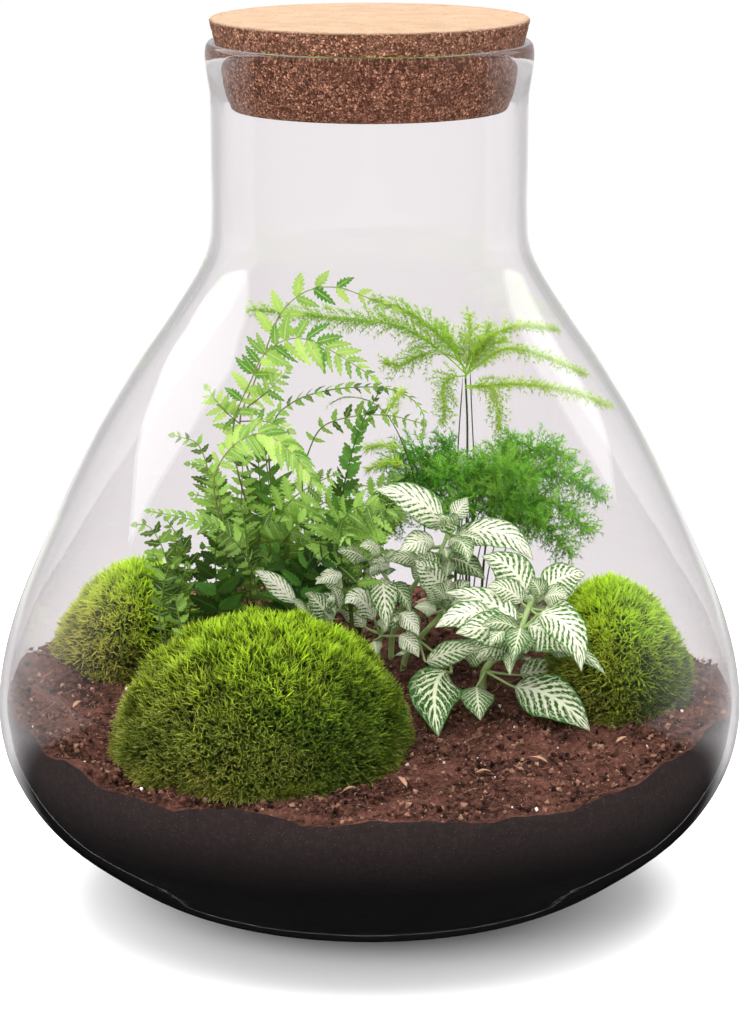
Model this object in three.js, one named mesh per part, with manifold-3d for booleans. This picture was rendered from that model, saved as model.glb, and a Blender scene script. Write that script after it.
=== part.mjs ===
// A closed plant garden in a flask-shaped glass bottle with a cork stopper.
// Millimetres, +Z up. The origin is the centre of the flat base, and the front is -Y.

import * as THREE from 'three';
import { mergeVertices } from 'three/addons/utils/BufferGeometryUtils.js';
import Module from 'manifold-3d';

const wasm = await Module();
wasm.setup();

// Driving dimensions
const SEGMENTS = 28; // round the bottle, cork and soil
const WALL = 3;
const FLOOR = 3.5;
const BELLY_RADIUS = 149.8;
const BELLY_HEIGHT = 80;
const RIM_TOP = 348;
const CORK_TOP = 357;
const CORK_DEPTH = 35;
const CORK_RADIUS = 62.7;
const CORK_TAPER = 0.25; // radius lost for each millimetre down
const CLEARANCE = 0.4; // between pieces that touch
const SOIL_FRONT = 76; // height of the soil at the front of the glass
const SOIL_RISE = 16; // how much higher it lies at the back
const SOIL_SIDES = 12; // and at the sides, against the glass
const SOIL_CROWN = 5; // how much it swells in the middle
const HOLE_DEPTH = 12; // square holes in the soil that the stalks stand in
const HOLE_ABOVE = 8; // how far the cut for a hole starts above the ground
const HOLE_MARGIN = 0.6; // between a stalk and the sides of its hole
const STALK = 0.6; // half the width of a frond's stalk
const STALK_TAPER = 0.35; // share of that lost at the tip
const FRONDS_END = 0.97; // share of a frond's length where its last leaflets sit
const LEAFLET_FOOT = 1.3; // half the length of stalk that a narrow leaflet grows from
const LEAF_HALF = 0.32; // half the thickness of a leaf
const NEEDLE_LENGTH = 5.5;

// Outside of the glass from the foot to the rim: radius, height
const OUTSIDE = [
  [50.8, 0], [71, 4], [94, 11], [112.2, 22], [133.7, 40], [145.8, 60], [BELLY_RADIUS, BELLY_HEIGHT],
  [148.2, 98], [142.4, 120], [130.2, 149], [110.6, 190], [92.8, 219.5], [78.6, 240], [67.4, 258],
  [63.6, 267], [62.5, 280],
];
// Rounded rim, from the outside over the top to the inside
const RIM = [
  [62.5, 328], [64.3, 340], [64.1, 345.6], [62.4, RIM_TOP], [60.9, RIM_TOP - 1.5], [59.5, 328],
];

// Repeatable random numbers between 0 and 1
let seed = 7;
function random() {
  seed = (seed * 1103515245 + 12345) % 2147483648;
  return seed / 2147483648;
}

// Solids and meshes

function solid(positions, index) {
  const vertProperties = new Float32Array(positions);
  const made = new wasm.Manifold(new wasm.Mesh({
    numProp: 3,
    vertProperties,
    triVerts: new Uint32Array(index),
  }));
  if (made.volume() > 0) {
    return made;
  }
  const turned = [];
  for (let i = 0; i < index.length; i += 3) {
    turned.push(index[i], index[i + 2], index[i + 1]);
  }
  return new wasm.Manifold(new wasm.Mesh({
    numProp: 3,
    vertProperties,
    triVerts: new Uint32Array(turned),
  }));
}

function weld(geometry) {
  const plain = geometry.clone();
  plain.deleteAttribute('normal');
  plain.deleteAttribute('uv');
  const merged = mergeVertices(plain, 1e-4);
  const corner = merged.index.array;
  const index = [];
  for (let i = 0; i < corner.length; i += 3) {
    const [a, b, c] = [corner[i], corner[i + 1], corner[i + 2]];
    if (a !== b && b !== c && c !== a) {
      index.push(a, b, c);
    }
  }
  return solid(Array.from(merged.attributes.position.array), index);
}

function lathe(profile) {
  const points = profile.map(([r, z]) => new THREE.Vector2(r, z));
  const geometry = new THREE.LatheGeometry(points, SEGMENTS);
  geometry.rotateX(Math.PI / 2);
  return weld(geometry);
}

function geometryOf(made) {
  const mesh = made.getMesh();
  const geometry = new THREE.BufferGeometry();
  geometry.setAttribute('position', new THREE.BufferAttribute(mesh.vertProperties, 3));
  geometry.setIndex(new THREE.BufferAttribute(mesh.triVerts, 1));
  geometry.computeVertexNormals();
  return geometry;
}

function curveThrough(points) {
  return new THREE.CatmullRomCurve3(points.map((p) => new THREE.Vector3(...p)));
}

// Glass bottle

// The profile of the outside moved in by a distance, from the flat floor up
function inside(distance) {
  const floor = FLOOR - WALL + distance;
  const wall = [[51, floor]];
  for (let i = 1; i < OUTSIDE.length; i += 1) {
    const before = OUTSIDE[i - 1];
    const after = OUTSIDE[Math.min(i + 1, OUTSIDE.length - 1)];
    const along = new THREE.Vector2(after[0] - before[0], after[1] - before[1]).normalize();
    wall.push([OUTSIDE[i][0] - along.y * distance, OUTSIDE[i][1] + along.x * distance]);
  }
  return wall;
}

function glassBottle() {
  return lathe([[0, 0], ...OUTSIDE, ...RIM, ...inside(WALL).reverse(), [0, FLOOR]]);
}

// Cork stopper

function corkStopper() {
  const bottom = CORK_TOP - CORK_DEPTH;
  const foot = CORK_RADIUS - CORK_TAPER * CORK_DEPTH;
  return lathe([
    [0, bottom], [foot - 1, bottom], [foot, bottom + 1.2], [CORK_RADIUS, CORK_TOP - 0.9],
    [CORK_RADIUS - 0.8, CORK_TOP], [0, CORK_TOP],
  ]);
}

// Soil bed

function ground(x, y) {
  const back = THREE.MathUtils.smoothstep(y, -20, 85);
  const rise = (SOIL_RISE - 4 * x / 130) * back;
  const reach = Math.min(Math.hypot(x, y) / 140, 1);
  const crown = SOIL_CROWN * (1 - reach * reach);
  const beside = THREE.MathUtils.smoothstep(Math.abs(x), 85, 146);
  const sides = SOIL_SIDES * beside * (1 - THREE.MathUtils.smoothstep(y, 0, 60));
  const lumps = 1.1 * Math.sin(x * 0.11 + 1) * Math.cos(y * 0.13) + 0.7 * Math.sin(x * 0.05 - y * 0.21);
  return SOIL_FRONT + rise + crown + sides + lumps;
}

function soilBed() {
  const wall = inside(WALL + CLEARANCE);
  const filled = wall.filter(([, z]) => z < SOIL_FRONT - 12);
  const rings = [0.84, 0.58, 0.28];
  const positions = [0, 0, wall[0][1]];
  const around = [];
  for (let j = 0; j < SEGMENTS; j += 1) {
    const turn = j / SEGMENTS * Math.PI * 2;
    around.push([Math.cos(turn), Math.sin(turn)]);
  }
  for (const [r, z] of filled) {
    for (const [c, s] of around) {
      positions.push(r * c, r * s, z);
    }
  }
  const rim = around.map(([c, s]) => {
    const z = ground(BELLY_RADIUS * c, BELLY_RADIUS * s);
    const i = wall.findIndex(([, high]) => high > z);
    const [[r0, z0], [r1, z1]] = [wall[i - 1], wall[i]];
    return [r0 + (r1 - r0) * (z - z0) / (z1 - z0), z];
  });
  rim.forEach(([r, z], j) => positions.push(r * around[j][0], r * around[j][1], z));
  for (const share of rings) {
    rim.forEach(([r], j) => {
      const x = r * share * around[j][0];
      const y = r * share * around[j][1];
      positions.push(x, y, ground(x, y));
    });
  }
  positions.push(0, 0, ground(0, 0));
  return solid(positions, capped(filled.length + 1 + rings.length, SEGMENTS));
}

// Faces of a stack of rings with one point below it and one above it
function capped(rings, around) {
  const index = [];
  const last = 1 + rings * around;
  for (let j = 0; j < around; j += 1) {
    const k = (j + 1) % around;
    index.push(0, 1 + k, 1 + j);
    for (let i = 0; i < rings - 1; i += 1) {
      const low = 1 + i * around;
      const high = low + around;
      index.push(low + j, low + k, high + k);
      index.push(low + j, high + k, high + j);
    }
    index.push(last, last - around + j, last - around + k);
  }
  return index;
}

// Moss cushions

const MOSSES = [
  { name: 'moss_cushion_front', centre: [-42, -66, 80], size: [57, 57, 52], around: 24, lean: 2, full: 0.9 },
  { name: 'moss_cushion_left', centre: [-105, 41, 87], size: [30, 32, 42], around: 18, lean: 10, full: 1 },
  { name: 'moss_cushion_right', centre: [103, 0, 82], size: [30, 38, 49], around: 20, lean: -6, full: 1 },
];
const MOSS_DEPTH = 9; // below its widest level
const MOSS_TILTS = [-40, 0, 16, 32, 48, 63, 77]; // rings of each cushion, in degrees

function mossCushion({ centre, size, around, lean, full }, grown) {
  const [cx, cy, cz] = centre;
  const positions = [cx, cy, cz - MOSS_DEPTH - grown];
  for (const tilt of MOSS_TILTS) {
    const level = Math.sin(tilt * Math.PI / 180);
    const wide = Math.cos(tilt * Math.PI / 180) ** full;
    const shift = tilt > 0 ? lean * level : 0;
    for (let j = 0; j < around; j += 1) {
      const a = j / around * Math.PI * 2;
      const lumps = 0.022 * Math.sin(7 * a + tilt * 0.11) + 0.018 * Math.cos(11 * a - tilt * 0.2);
      const tuft = tilt > 0 ? 1 + lumps : 1;
      const high = tilt > 0 ? size[2] : MOSS_DEPTH;
      positions.push(
        cx + shift + (size[0] * wide * tuft + grown) * Math.cos(a),
        cy + (size[1] * wide * tuft + grown) * Math.sin(a),
        cz + high * level * tuft + Math.sign(level) * grown,
      );
    }
  }
  positions.push(cx + lean, cy, cz + size[2] + grown);
  return solid(positions, capped(MOSS_TILTS.length, around));
}

// Blades: thin leaves with a real thickness, the same triangles on both faces

function blade(points, faces) {
  const positions = [];
  for (const side of [1, -1]) {
    for (const p of points) {
      positions.push(
        p.at.x + side * p.half * p.out.x,
        p.at.y + side * p.half * p.out.y,
        p.at.z + side * p.half * p.out.z,
      );
    }
  }
  const n = points.length;
  const index = [];
  const edges = new Set();
  for (const [a, b, c] of faces) {
    index.push(a, b, c, n + a, n + c, n + b);
    for (const [p, q] of [[a, b], [b, c], [c, a]]) {
      edges.add(p * n + q);
    }
  }
  for (const edge of edges) {
    const p = Math.floor(edge / n);
    const q = edge % n;
    if (!edges.has(q * n + p)) {
      index.push(q, p, n + p, q, n + p, n + q);
    }
  }
  return solid(positions, index);
}

// Directions at a share u of a curve's length: along it, out of the leaf's face and across it
function frameAt(curve, u, face) {
  const at = curve.getPointAt(u);
  const along = curve.getTangentAt(u);
  const out = face.clone().addScaledVector(along, -face.dot(along)).normalize();
  const across = new THREE.Vector3().crossVectors(along, out);
  return { at, along, out, across };
}

// Outline of one half-cut leaflet: share of its length, share of its width
const LEAFLET_ONE = [[0.36, -0.5], [0.47, -0.24], [1, 0.04], [0.52, 0.22], [0.38, 0.5]];
const ONE_FACES = [[0, 1, 2], [2, 3, 4], [4, 5, 6], [0, 2, 4], [0, 4, 6]];
const LEAFLET_TWO = [
  [0.24, -0.5], [0.34, -0.27], [0.55, -0.42], [0.64, -0.16], [1, 0.06],
  [0.66, 0.18], [0.52, 0.44], [0.38, 0.27], [0.22, 0.5],
];
const TWO_FACES = [
  [0, 1, 2], [2, 3, 4], [4, 5, 6], [6, 7, 8], [8, 9, 10], [0, 2, 8], [0, 8, 10], [2, 4, 6], [2, 6, 8],
];

// A plant's points in the soil: the foot of its hole, and just above the hole's mouth
function rooted([x, y], path) {
  const level = ground(x, y);
  return [[x, y, level - HOLE_DEPTH + 1], [x, y, level + 1], ...path];
}

// Size of a leaflet at a share of the leafy length: it grows as far as swell and then shrinks
function leafletSize(share, swell) {
  if (share < swell) {
    return 0.6 + 0.4 * share / swell;
  }
  return 1 - 0.75 * ((share - swell) / (1 - swell)) ** 1.5;
}

function frond(fern) {
  const { leafy, pairs, length, bare = 4, swell = 0.25, lean = 20, droop = 0.12 } = fern;
  const curve = curveThrough(rooted(fern.root, fern.path));
  const face = new THREE.Vector3(...fern.face);
  const total = curve.getLength();
  const mouth = (HOLE_DEPTH + 1) / total;
  const stations = [0];
  for (let i = 0; i < bare - 1; i += 1) {
    stations.push(mouth + (leafy - mouth) * i / (bare - 1));
  }
  const seats = [];
  for (let i = 0; i < pairs; i += 1) {
    const [low, high] = [i, i + 1].map((k) => leafy + (FRONDS_END - leafy) * (k / pairs) ** 0.85);
    const spare = fern.dense ? 0 : Math.max((high - low) / 2 - LEAFLET_FOOT / total, 0);
    if (spare * total > 1) {
      seats.push(stations.length);
      stations.push(low + spare, high - spare);
    } else {
      if (i === 0 || seats[i - 1] !== stations.length - 2) {
        stations.push(low);
      }
      seats.push(stations.length - 1);
      stations.push(high);
    }
  }
  const points = [];
  const faces = [];
  const frames = stations.map((u) => frameAt(curve, u, face));
  frames.forEach((f, i) => {
    const slim = 1 - STALK_TAPER * Math.max(stations[i] - leafy, 0) / (1 - leafy);
    for (const side of [-1, 1]) {
      points.push({
        at: f.at.clone().addScaledVector(f.across, side * STALK * slim),
        out: f.out,
        half: STALK * slim,
      });
    }
    if (i > 0) {
      const a = 2 * i - 2;
      faces.push([a, a + 1, a + 3], [a, a + 3, a + 2]);
    }
  });
  const tip = frameAt(curve, 1, face);
  const last = points.length - 1;
  points.push({ at: tip.at, out: tip.out, half: LEAF_HALF });
  faces.push([last - 1, last, last + 1]);
  const outline = fern.teeth === 2 ? LEAFLET_TWO : LEAFLET_ONE;
  const cut = fern.teeth === 2 ? TWO_FACES : ONE_FACES;
  const cos = Math.cos(lean * Math.PI / 180);
  const sin = Math.sin(lean * Math.PI / 180);
  const gap = (FRONDS_END - leafy) * total / pairs;
  for (let i = 0; i < pairs; i += 1) {
    const grown = length * leafletSize((i + 0.5) / pairs, swell);
    const low = frames[seats[i]];
    const high = frames[seats[i] + 1];
    const across = low.across.clone().add(high.across).normalize();
    const along = low.along.clone().add(high.along).normalize();
    const out = low.out.clone().add(high.out).normalize();
    const middle = low.at.clone().add(high.at).multiplyScalar(0.5);
    for (const side of [1, -1]) {
      const right = side > 0 ? 1 : 0;
      const reach = grown * (fern.sides?.[right] ?? 1);
      const away = across.clone().multiplyScalar(side * cos).addScaledVector(along, sin);
      const beside = along.clone().multiplyScalar(cos).addScaledVector(across, -side * sin);
      const base = 2 * seats[i] + right;
      const spread = fern.dense ? low.at.distanceTo(high.at) : gap;
      const wide = fern.dense ? spread * cos * (fern.fill ?? 0.9) : Math.min(spread * 0.9, reach * 0.55);
      const at = [base];
      for (const [u, v] of outline) {
        const p = middle.clone().addScaledVector(away, reach * u);
        p.addScaledVector(beside, wide * v);
        p.z -= droop * reach * u * u;
        points.push({ at: p, out, half: LEAF_HALF });
        at.push(points.length - 1);
      }
      at.push(base + 2);
      for (const [a, b, c] of cut) {
        faces.push(side > 0 ? [at[a], at[b], at[c]] : [at[a], at[c], at[b]]);
      }
    }
  }
  return blade(points, faces);
}

const FRONT = [0, -1, 0.25];
const FERNS = [
  { name: 'fern_frond_topmost', leafy: 0.6, pairs: 6, length: 13, face: FRONT, lean: 30, bare: 7,
    root: [-20, 48], colour: 'lime', sides: [0.8, 1],
    path: [[-36, 50, 125], [-54, 50, 184], [-48, 48, 202], [-42, 46, 219], [-36, 43, 233], [-25, 40, 242],
      [-12, 38, 243], [1, 35, 239], [12, 32, 235]] },
  { name: 'fern_frond_arching', leafy: 0.5, pairs: 9, length: 15, face: FRONT, teeth: 2, lean: 12,
    bare: 5, root: [-26, 31], colour: 'lime', swell: 0.5,
    path: [[-42, 31, 130], [-56, 30, 185], [-48, 28, 208], [-43, 26, 218], [-34, 22, 225], [-24, 16, 226],
      [-11, 10, 220], [3, 4, 212]] },
  { name: 'fern_frond_hooked', leafy: 0.5, pairs: 9, length: 8, face: [0, -0.5, 1], lean: 35,
    bare: 5, dense: true, fill: 0.7, root: [-19, 38], colour: 'leaf', swell: 0.05,
    path: [[-30, 39, 120], [-41, 38, 165], [-39, 38, 189], [-31, 36, 197], [-18, 33, 202], [5, 29, 204],
      [16, 26, 201], [22, 24, 194], [21, 22, 184]] },
  { name: 'fern_frond_slender', leafy: 0.62, pairs: 6, length: 8, face: FRONT, lean: 25,
    bare: 5, root: [-20, 60], colour: 'leaf', swell: 0.3,
    path: [[-26, 58, 125], [-28, 56, 161], [-26, 56, 170], [-20, 55, 182], [-8, 53, 187], [8, 51, 188],
      [23, 48, 185]] },
  { name: 'fern_frond_upright', leafy: 0.42, pairs: 9, length: 10, face: FRONT, lean: 42,
    dense: true, root: [-14, 22], colour: 'dark', swell: 0.2,
    path: [[-15, 22, 130], [-13, 22, 151], [-10, 20, 167], [-5, 16, 187], [-1, 13, 197], [5, 10, 208]] },
  { name: 'fern_frond_bright', leafy: 0.66, pairs: 7, length: 13, face: [0.1, -0.75, 0.65], teeth: 2,
    lean: 12, bare: 5, root: [-42, 15], colour: 'lime', swell: 0.25, droop: 0.3,
    path: [[-55, 14, 125], [-61, 12, 155], [-63, 10, 169], [-61, 8, 176], [-55, 4, 185], [-43, -4, 192],
      [-31, -12, 186], [-20, -20, 174]] },
  { name: 'fern_frond_curled', leafy: 0.45, pairs: 7, length: 10, face: FRONT, lean: 25,
    bare: 5, dense: true, root: [-47, 26], colour: 'leaf', swell: 0.3,
    path: [[-58, 25, 120], [-62, 24, 142], [-64, 25, 156], [-66, 26, 170], [-68, 27, 177], [-71, 27, 182],
      [-81, 28, 185]] },
  { name: 'fern_frond_back', leafy: 0.5, pairs: 5, length: 16, face: FRONT, lean: 35,
    root: [-36, 44], colour: 'dark', swell: 0.3,
    path: [[-41, 46, 120], [-43, 46, 134], [-44, 45, 147], [-45, 44, 158], [-46, 43, 171]] },
  { name: 'fern_frond_broad_dark', leafy: 0.2, pairs: 7, length: 19, face: [0, -1, 0.45], lean: 30,
    dense: true, root: [-60, 8], colour: 'dark', swell: 0.15, bare: 3,
    path: [[-61, 6, 104], [-61, 3, 117], [-62, 2, 131], [-62, 0, 143], [-60, -2, 154]] },
  { name: 'fern_frond_long_low', leafy: 0.5, pairs: 8, length: 9, face: [0.1, -0.7, 0.7], lean: 30,
    bare: 5, dense: true, root: [-38, 4], colour: 'leaf', swell: 0.2,
    path: [[-42, 6, 112], [-46, 5, 127], [-49, -1, 139], [-54, -7, 149], [-62, -12, 156], [-76, -16, 161],
      [-88, -19, 164]] },
  { name: 'fern_frond_pale_middle', leafy: 0.45, pairs: 5, length: 18, face: [0.2, -0.9, 0.5], lean: 35,
    root: [-31, 40], colour: 'leaf', swell: 0.3, droop: 0.3,
    path: [[-37, 37, 118], [-40, 35, 137], [-38, 31, 149], [-31, 26, 159], [-23, 19, 166], [-14, 12, 172]] },
  { name: 'fern_frond_pale_right', leafy: 0.4, pairs: 5, length: 18, face: [-0.1, -0.9, 0.5], lean: 30,
    root: [-7, 14], colour: 'leaf', swell: 0.35, droop: 0.25,
    path: [[-8, 15, 118], [-12, 15, 133], [-13, 12, 147], [-8, 5, 158], [-1, -1, 162], [8, -7, 161]] },
  { name: 'fern_frond_low_left', leafy: 0.4, pairs: 5, length: 15, face: [0, -0.8, 0.6], lean: 30,
    root: [-40, 30], colour: 'leaf', swell: 0.3, droop: 0.2,
    path: [[-43, 27, 115], [-44, 24, 129], [-46, 20, 141], [-44, 14, 149], [-35, 8, 154]] },
  { name: 'fern_frond_low_dark', leafy: 0.35, pairs: 5, length: 15, face: [0, -0.8, 0.6], lean: 28,
    dense: true, root: [-27, 16], colour: 'dark', swell: 0.3, droop: 0.2,
    path: [[-30, 16, 108], [-32, 15, 120], [-33, 13, 131], [-36, 8, 139], [-42, 2, 144]] },
  { name: 'fern_frond_pale_back', leafy: 0.45, pairs: 5, length: 17, face: [0, -0.9, 0.5], lean: 35,
    root: [-4, 42], colour: 'leaf', swell: 0.35, droop: 0.25,
    path: [[-6, 38, 116], [-7, 36, 130], [-6, 34, 146], [1, 30, 159], [11, 26, 167]] },
];

// Stems: a slim many-sided rod along a curve

function stem(points, radius, sides = 5, steps = 6) {
  const shape = new THREE.Shape();
  for (let i = 0; i < sides; i += 1) {
    const a = (i + 0.5) / sides * Math.PI * 2;
    const x = radius * Math.cos(a);
    const y = radius * Math.sin(a);
    if (i === 0) {
      shape.moveTo(x, y);
    } else {
      shape.lineTo(x, y);
    }
  }
  shape.closePath();
  const extrudePath = curveThrough(points);
  return weld(new THREE.ExtrudeGeometry(shape, { steps, extrudePath, curveSegments: 1 }));
}

// Whole leaves: an oval blade folded a little along its middle rib, with a stalk

const OVAL = [[0.18, 0.8], [0.48, 1.15], [0.78, 0.85]]; // share of length, share of half width

function leaf({ from, base, middle, tip, width, face, fold = 0.25 }) {
  const curve = new THREE.QuadraticBezierCurve3(
    new THREE.Vector3(...base),
    new THREE.Vector3(...middle),
    new THREE.Vector3(...tip),
  );
  const look = new THREE.Vector3(...face);
  const first = frameAt(curve, 0, look);
  const points = [];
  const faces = [];
  const foot = new THREE.Vector3(...from);
  for (const at of [foot, first.at]) {
    for (const side of [-1, 1]) {
      points.push({ at: at.clone().addScaledVector(first.across, side * 0.55), out: first.out, half: 0.5 });
    }
  }
  faces.push([0, 1, 3], [0, 3, 2]);
  let [left, right] = [2, 3];
  let rib = -1;
  OVAL.forEach(([u, w], i) => {
    const f = frameAt(curve, u, look);
    const half = width / 2 * w * (i % 2 === 0 ? 1.03 : 0.97);
    const n = points.length;
    points.push({ at: f.at, out: f.out, half: LEAF_HALF + 0.1 });
    for (const side of [-1, 1]) {
      const p = f.at.clone().addScaledVector(f.across, side * half).addScaledVector(f.out, -fold * half);
      points.push({ at: p, out: f.out, half: LEAF_HALF });
    }
    if (rib < 0) {
      faces.push([left, right, n], [left, n, n + 1], [right, n + 2, n]);
    } else {
      faces.push([rib, n, n + 1], [rib, n + 1, left], [rib, n + 2, n], [rib, right, n + 2]);
    }
    rib = n;
    left = n + 1;
    right = n + 2;
  });
  const end = frameAt(curve, 1, look);
  points.push({ at: end.at, out: end.out, half: LEAF_HALF });
  const n = points.length - 1;
  faces.push([rib, n, left], [rib, right, n]);
  return blade(points, faces);
}

// Nerve plant: thick pale stems with veined leaves.
// Each leaf lists its stalk's foot, base, middle and tip, and its width.

const NERVE_FACE = [0, -0.8, 0.6];
const NERVE_STEMS = [
  { name: 'nerve_plant_upper', root: [9, 36], radius: 1.2,
    path: [[10, 35, 100], [16, 30, 117], [22, 22, 128], [28, 17, 137], [31, 16, 144], [33, 17, 152]],
    leaves: [
      [[32, 16, 149], [30, 15, 151], [20, 8, 166], [2, 2, 168], 12],
      [[33, 17, 151], [34, 17, 153], [37, 18, 157], [40, 18, 161], 6],
      [[31, 16, 145], [38, 15, 147], [56, 8, 154], [66, 0, 139], 10],
      [[29, 16, 141], [26, 13, 142], [21, 8, 148], [12, 2, 142], 9],
      [[25, 19, 133], [21, 14, 135], [14, 9, 141], [6, 5, 137], 5],
    ] },
  { name: 'nerve_plant_middle', root: [14, 25], radius: 1.3,
    path: [[16, 22, 95], [22, 17, 104], [28, 12, 112], [31, 9, 118]],
    leaves: [
      [[31, 9, 117], [30, 7, 124], [26, 5, 133], [18, 6, 138], 10],
      [[31, 9, 117], [33, 9, 120], [37, 10, 127], [41, 12, 127], 6],
    ] },
  { name: 'nerve_plant_left', root: [3, 18], radius: 1.1,
    path: [[4, 17, 100], [8, 15, 115], [8, 13, 126], [4, 12, 133], [2, 11, 138]],
    leaves: [
      [[8, 13, 126], [5, 10, 129], [6, 3, 127], [7, -1, 110], 9],
      [[2, 11, 137], [4, 6, 140], [2, 0, 147], [-4, -5, 146], 6],
      [[2, 11, 137], [-2, 7, 138], [-7, 2, 144], [-13, -1, 143], 7],
      [[4, 17, 104], [2, 9, 112], [-4, 2, 128], [-10, -4, 122], 9],
    ] },
  { name: 'nerve_plant_moss_edge', root: [-14, 3], radius: 0.9,
    path: [[-15, 3, 98], [-17, 4, 110], [-19, 4, 117]],
    leaves: [
      [[-19, 4, 115], [-30, 2, 121], [-39, 0, 132], [-46, -5, 136], 10],
      [[-18, 4, 113], [-12, 5, 118], [-13, 3, 125], [-15, 2, 128], 5],
      [[-19, 4, 115], [-20, 1, 119], [-22, -1, 125], [-26, -3, 126], 5],
      [[-17, 4, 110], [-11, 6, 126], [-16, 4, 132], [-22, 1, 131], 5],
    ] },
  { name: 'nerve_plant_right', root: [46, 3], radius: 1.6, steps: 10,
    path: [[46, 1, 88], [47, -4, 95], [54, -12, 105], [60, -19, 115], [64, -14, 124], [67, -10, 128]],
    leaves: [
      [[60, -19, 115], [58, -20, 118], [48, -14, 130], [30, -9, 128], 10],
      [[60, -19, 115], [67, -24, 123], [82, -38, 127], [83, -44, 105], 12],
      [[60, -19, 114], [63, -23, 118], [72, -29, 119], [79, -32, 109], 15],
      [[60, -19, 114], [58, -23, 115], [48, -28, 121], [34, -31, 117], 13],
      [[58, -17, 110], [56, -19, 108], [51, -22, 108], [45, -24, 104], 6],
      [[57, -15, 108], [72, -22, 107], [78, -27, 110], [82, -31, 109], 5],
      [[64, -14, 123], [63, -9, 128], [58, -5, 141], [45, -1, 141], 13],
      [[66, -11, 127], [70, -8, 129], [78, -5, 136], [87, -3, 134], 12],
      [[66, -11, 127], [68, -14, 128], [68, -16, 132], [64, -17, 136], 8],
      [[47, -4, 94], [58, -20, 92], [74, -34, 96], [87, -42, 80], 17],
    ] },
  { name: 'nerve_plant_low', root: [30, 16], radius: 0.9,
    path: [[31, 12, 92], [33, 2, 94], [33, -4, 93]],
    leaves: [
      [[33, -3, 93], [32, -7, 93], [30, -24, 96], [25, -40, 85], 17],
      [[31, 8, 93], [38, 4, 98], [44, 0, 103], [52, -2, 100], 9],
    ] },
];

function nervePlant(plant) {
  let made = stem(rooted(plant.root, plant.path), plant.radius, 5, plant.steps);
  for (const [from, base, middle, tip, width] of plant.leaves) {
    made = made.add(leaf({ from, base, middle, tip, width, face: NERVE_FACE }));
  }
  return made;
}

// Small-leaved plant: two stalks with small toothed leaves

const SMALL_LEAVED = [
  { name: 'small_leaved_stalk_left', root: [-80, -2],
    path: [[-80, 1, 100], [-80, 4, 126], [-82, 2, 139], [-85, 0, 148], [-89, -2, 154], [-94, -4, 155]],
    pairs: 5, leafy: 0.62, length: 9 },
  { name: 'small_leaved_stalk_right', root: [-75, 5],
    path: [[-75, 7, 100], [-75, 8, 120], [-75, 8, 131], [-75, 8, 141], [-78, 7, 148], [-82, 6, 155]],
    pairs: 5, leafy: 0.6, length: 9 },
];

// Needle sprays: a slim three-sided core with needles in threes all the way to its tip

function spray(path, { whorls, needle = NEEDLE_LENGTH, radius = 0.6, leafy = 0.22, bare = 1 }) {
  const curve = curveThrough(path);
  const total = curve.getLength();
  const rings = [];
  for (let i = 0; i < bare; i += 1) {
    rings.push({ u: leafy * i / bare, twist: 0 });
  }
  for (let i = 0; i < whorls; i += 1) {
    const u = leafy + (0.98 - leafy) * i / whorls;
    const twist = i * Math.PI / 3;
    rings.push({ u, twist, needles: true });
    rings.push({ u: u + 0.9 / total, twist });
  }
  const face = new THREE.Vector3(0.31, -0.42, 0.85);
  const positions = [];
  const index = [];
  rings.forEach((ring) => {
    const f = frameAt(curve, ring.u, face);
    const r = radius * (1 - 0.35 * ring.u);
    for (let j = 0; j < 3; j += 1) {
      const a = ring.twist + j * Math.PI * 2 / 3;
      const p = f.at.clone().addScaledVector(f.across, r * Math.cos(a));
      p.addScaledVector(f.out, r * Math.sin(a));
      positions.push(p.x, p.y, p.z);
    }
  });
  const tip = curve.getPointAt(1);
  index.push(0, 2, 1);
  for (let i = 0; i < rings.length - 1; i += 1) {
    const low = 3 * i;
    for (let j = 0; j < 3; j += 1) {
      const k = (j + 1) % 3;
      if (!rings[i].needles) {
        index.push(low + j, low + k, low + 3 + j, low + k, low + 3 + k, low + 3 + j);
        continue;
      }
      const u = rings[i].u;
      const f = frameAt(curve, u, face);
      const a = rings[i].twist + (j + 0.5) * Math.PI * 2 / 3;
      const reach = needle * (1 - 0.45 * u) * (0.85 + 0.3 * random());
      const p = f.at.clone().addScaledVector(f.along, reach * 0.6 + 0.45);
      p.addScaledVector(f.across, reach * 0.8 * Math.cos(a));
      p.addScaledVector(f.out, reach * 0.8 * Math.sin(a));
      const apex = positions.length / 3;
      positions.push(p.x, p.y, p.z);
      index.push(low + j, low + k, apex, low + k, low + 3 + k, apex);
      index.push(low + 3 + k, low + 3 + j, apex, low + 3 + j, low + j, apex);
    }
  }
  const end = 3 * (rings.length - 1);
  const apex = positions.length / 3;
  positions.push(tip.x, tip.y, tip.z);
  for (let j = 0; j < 3; j += 1) {
    index.push(end + j, end + (j + 1) % 3, apex);
  }
  return solid(positions, index);
}

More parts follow.
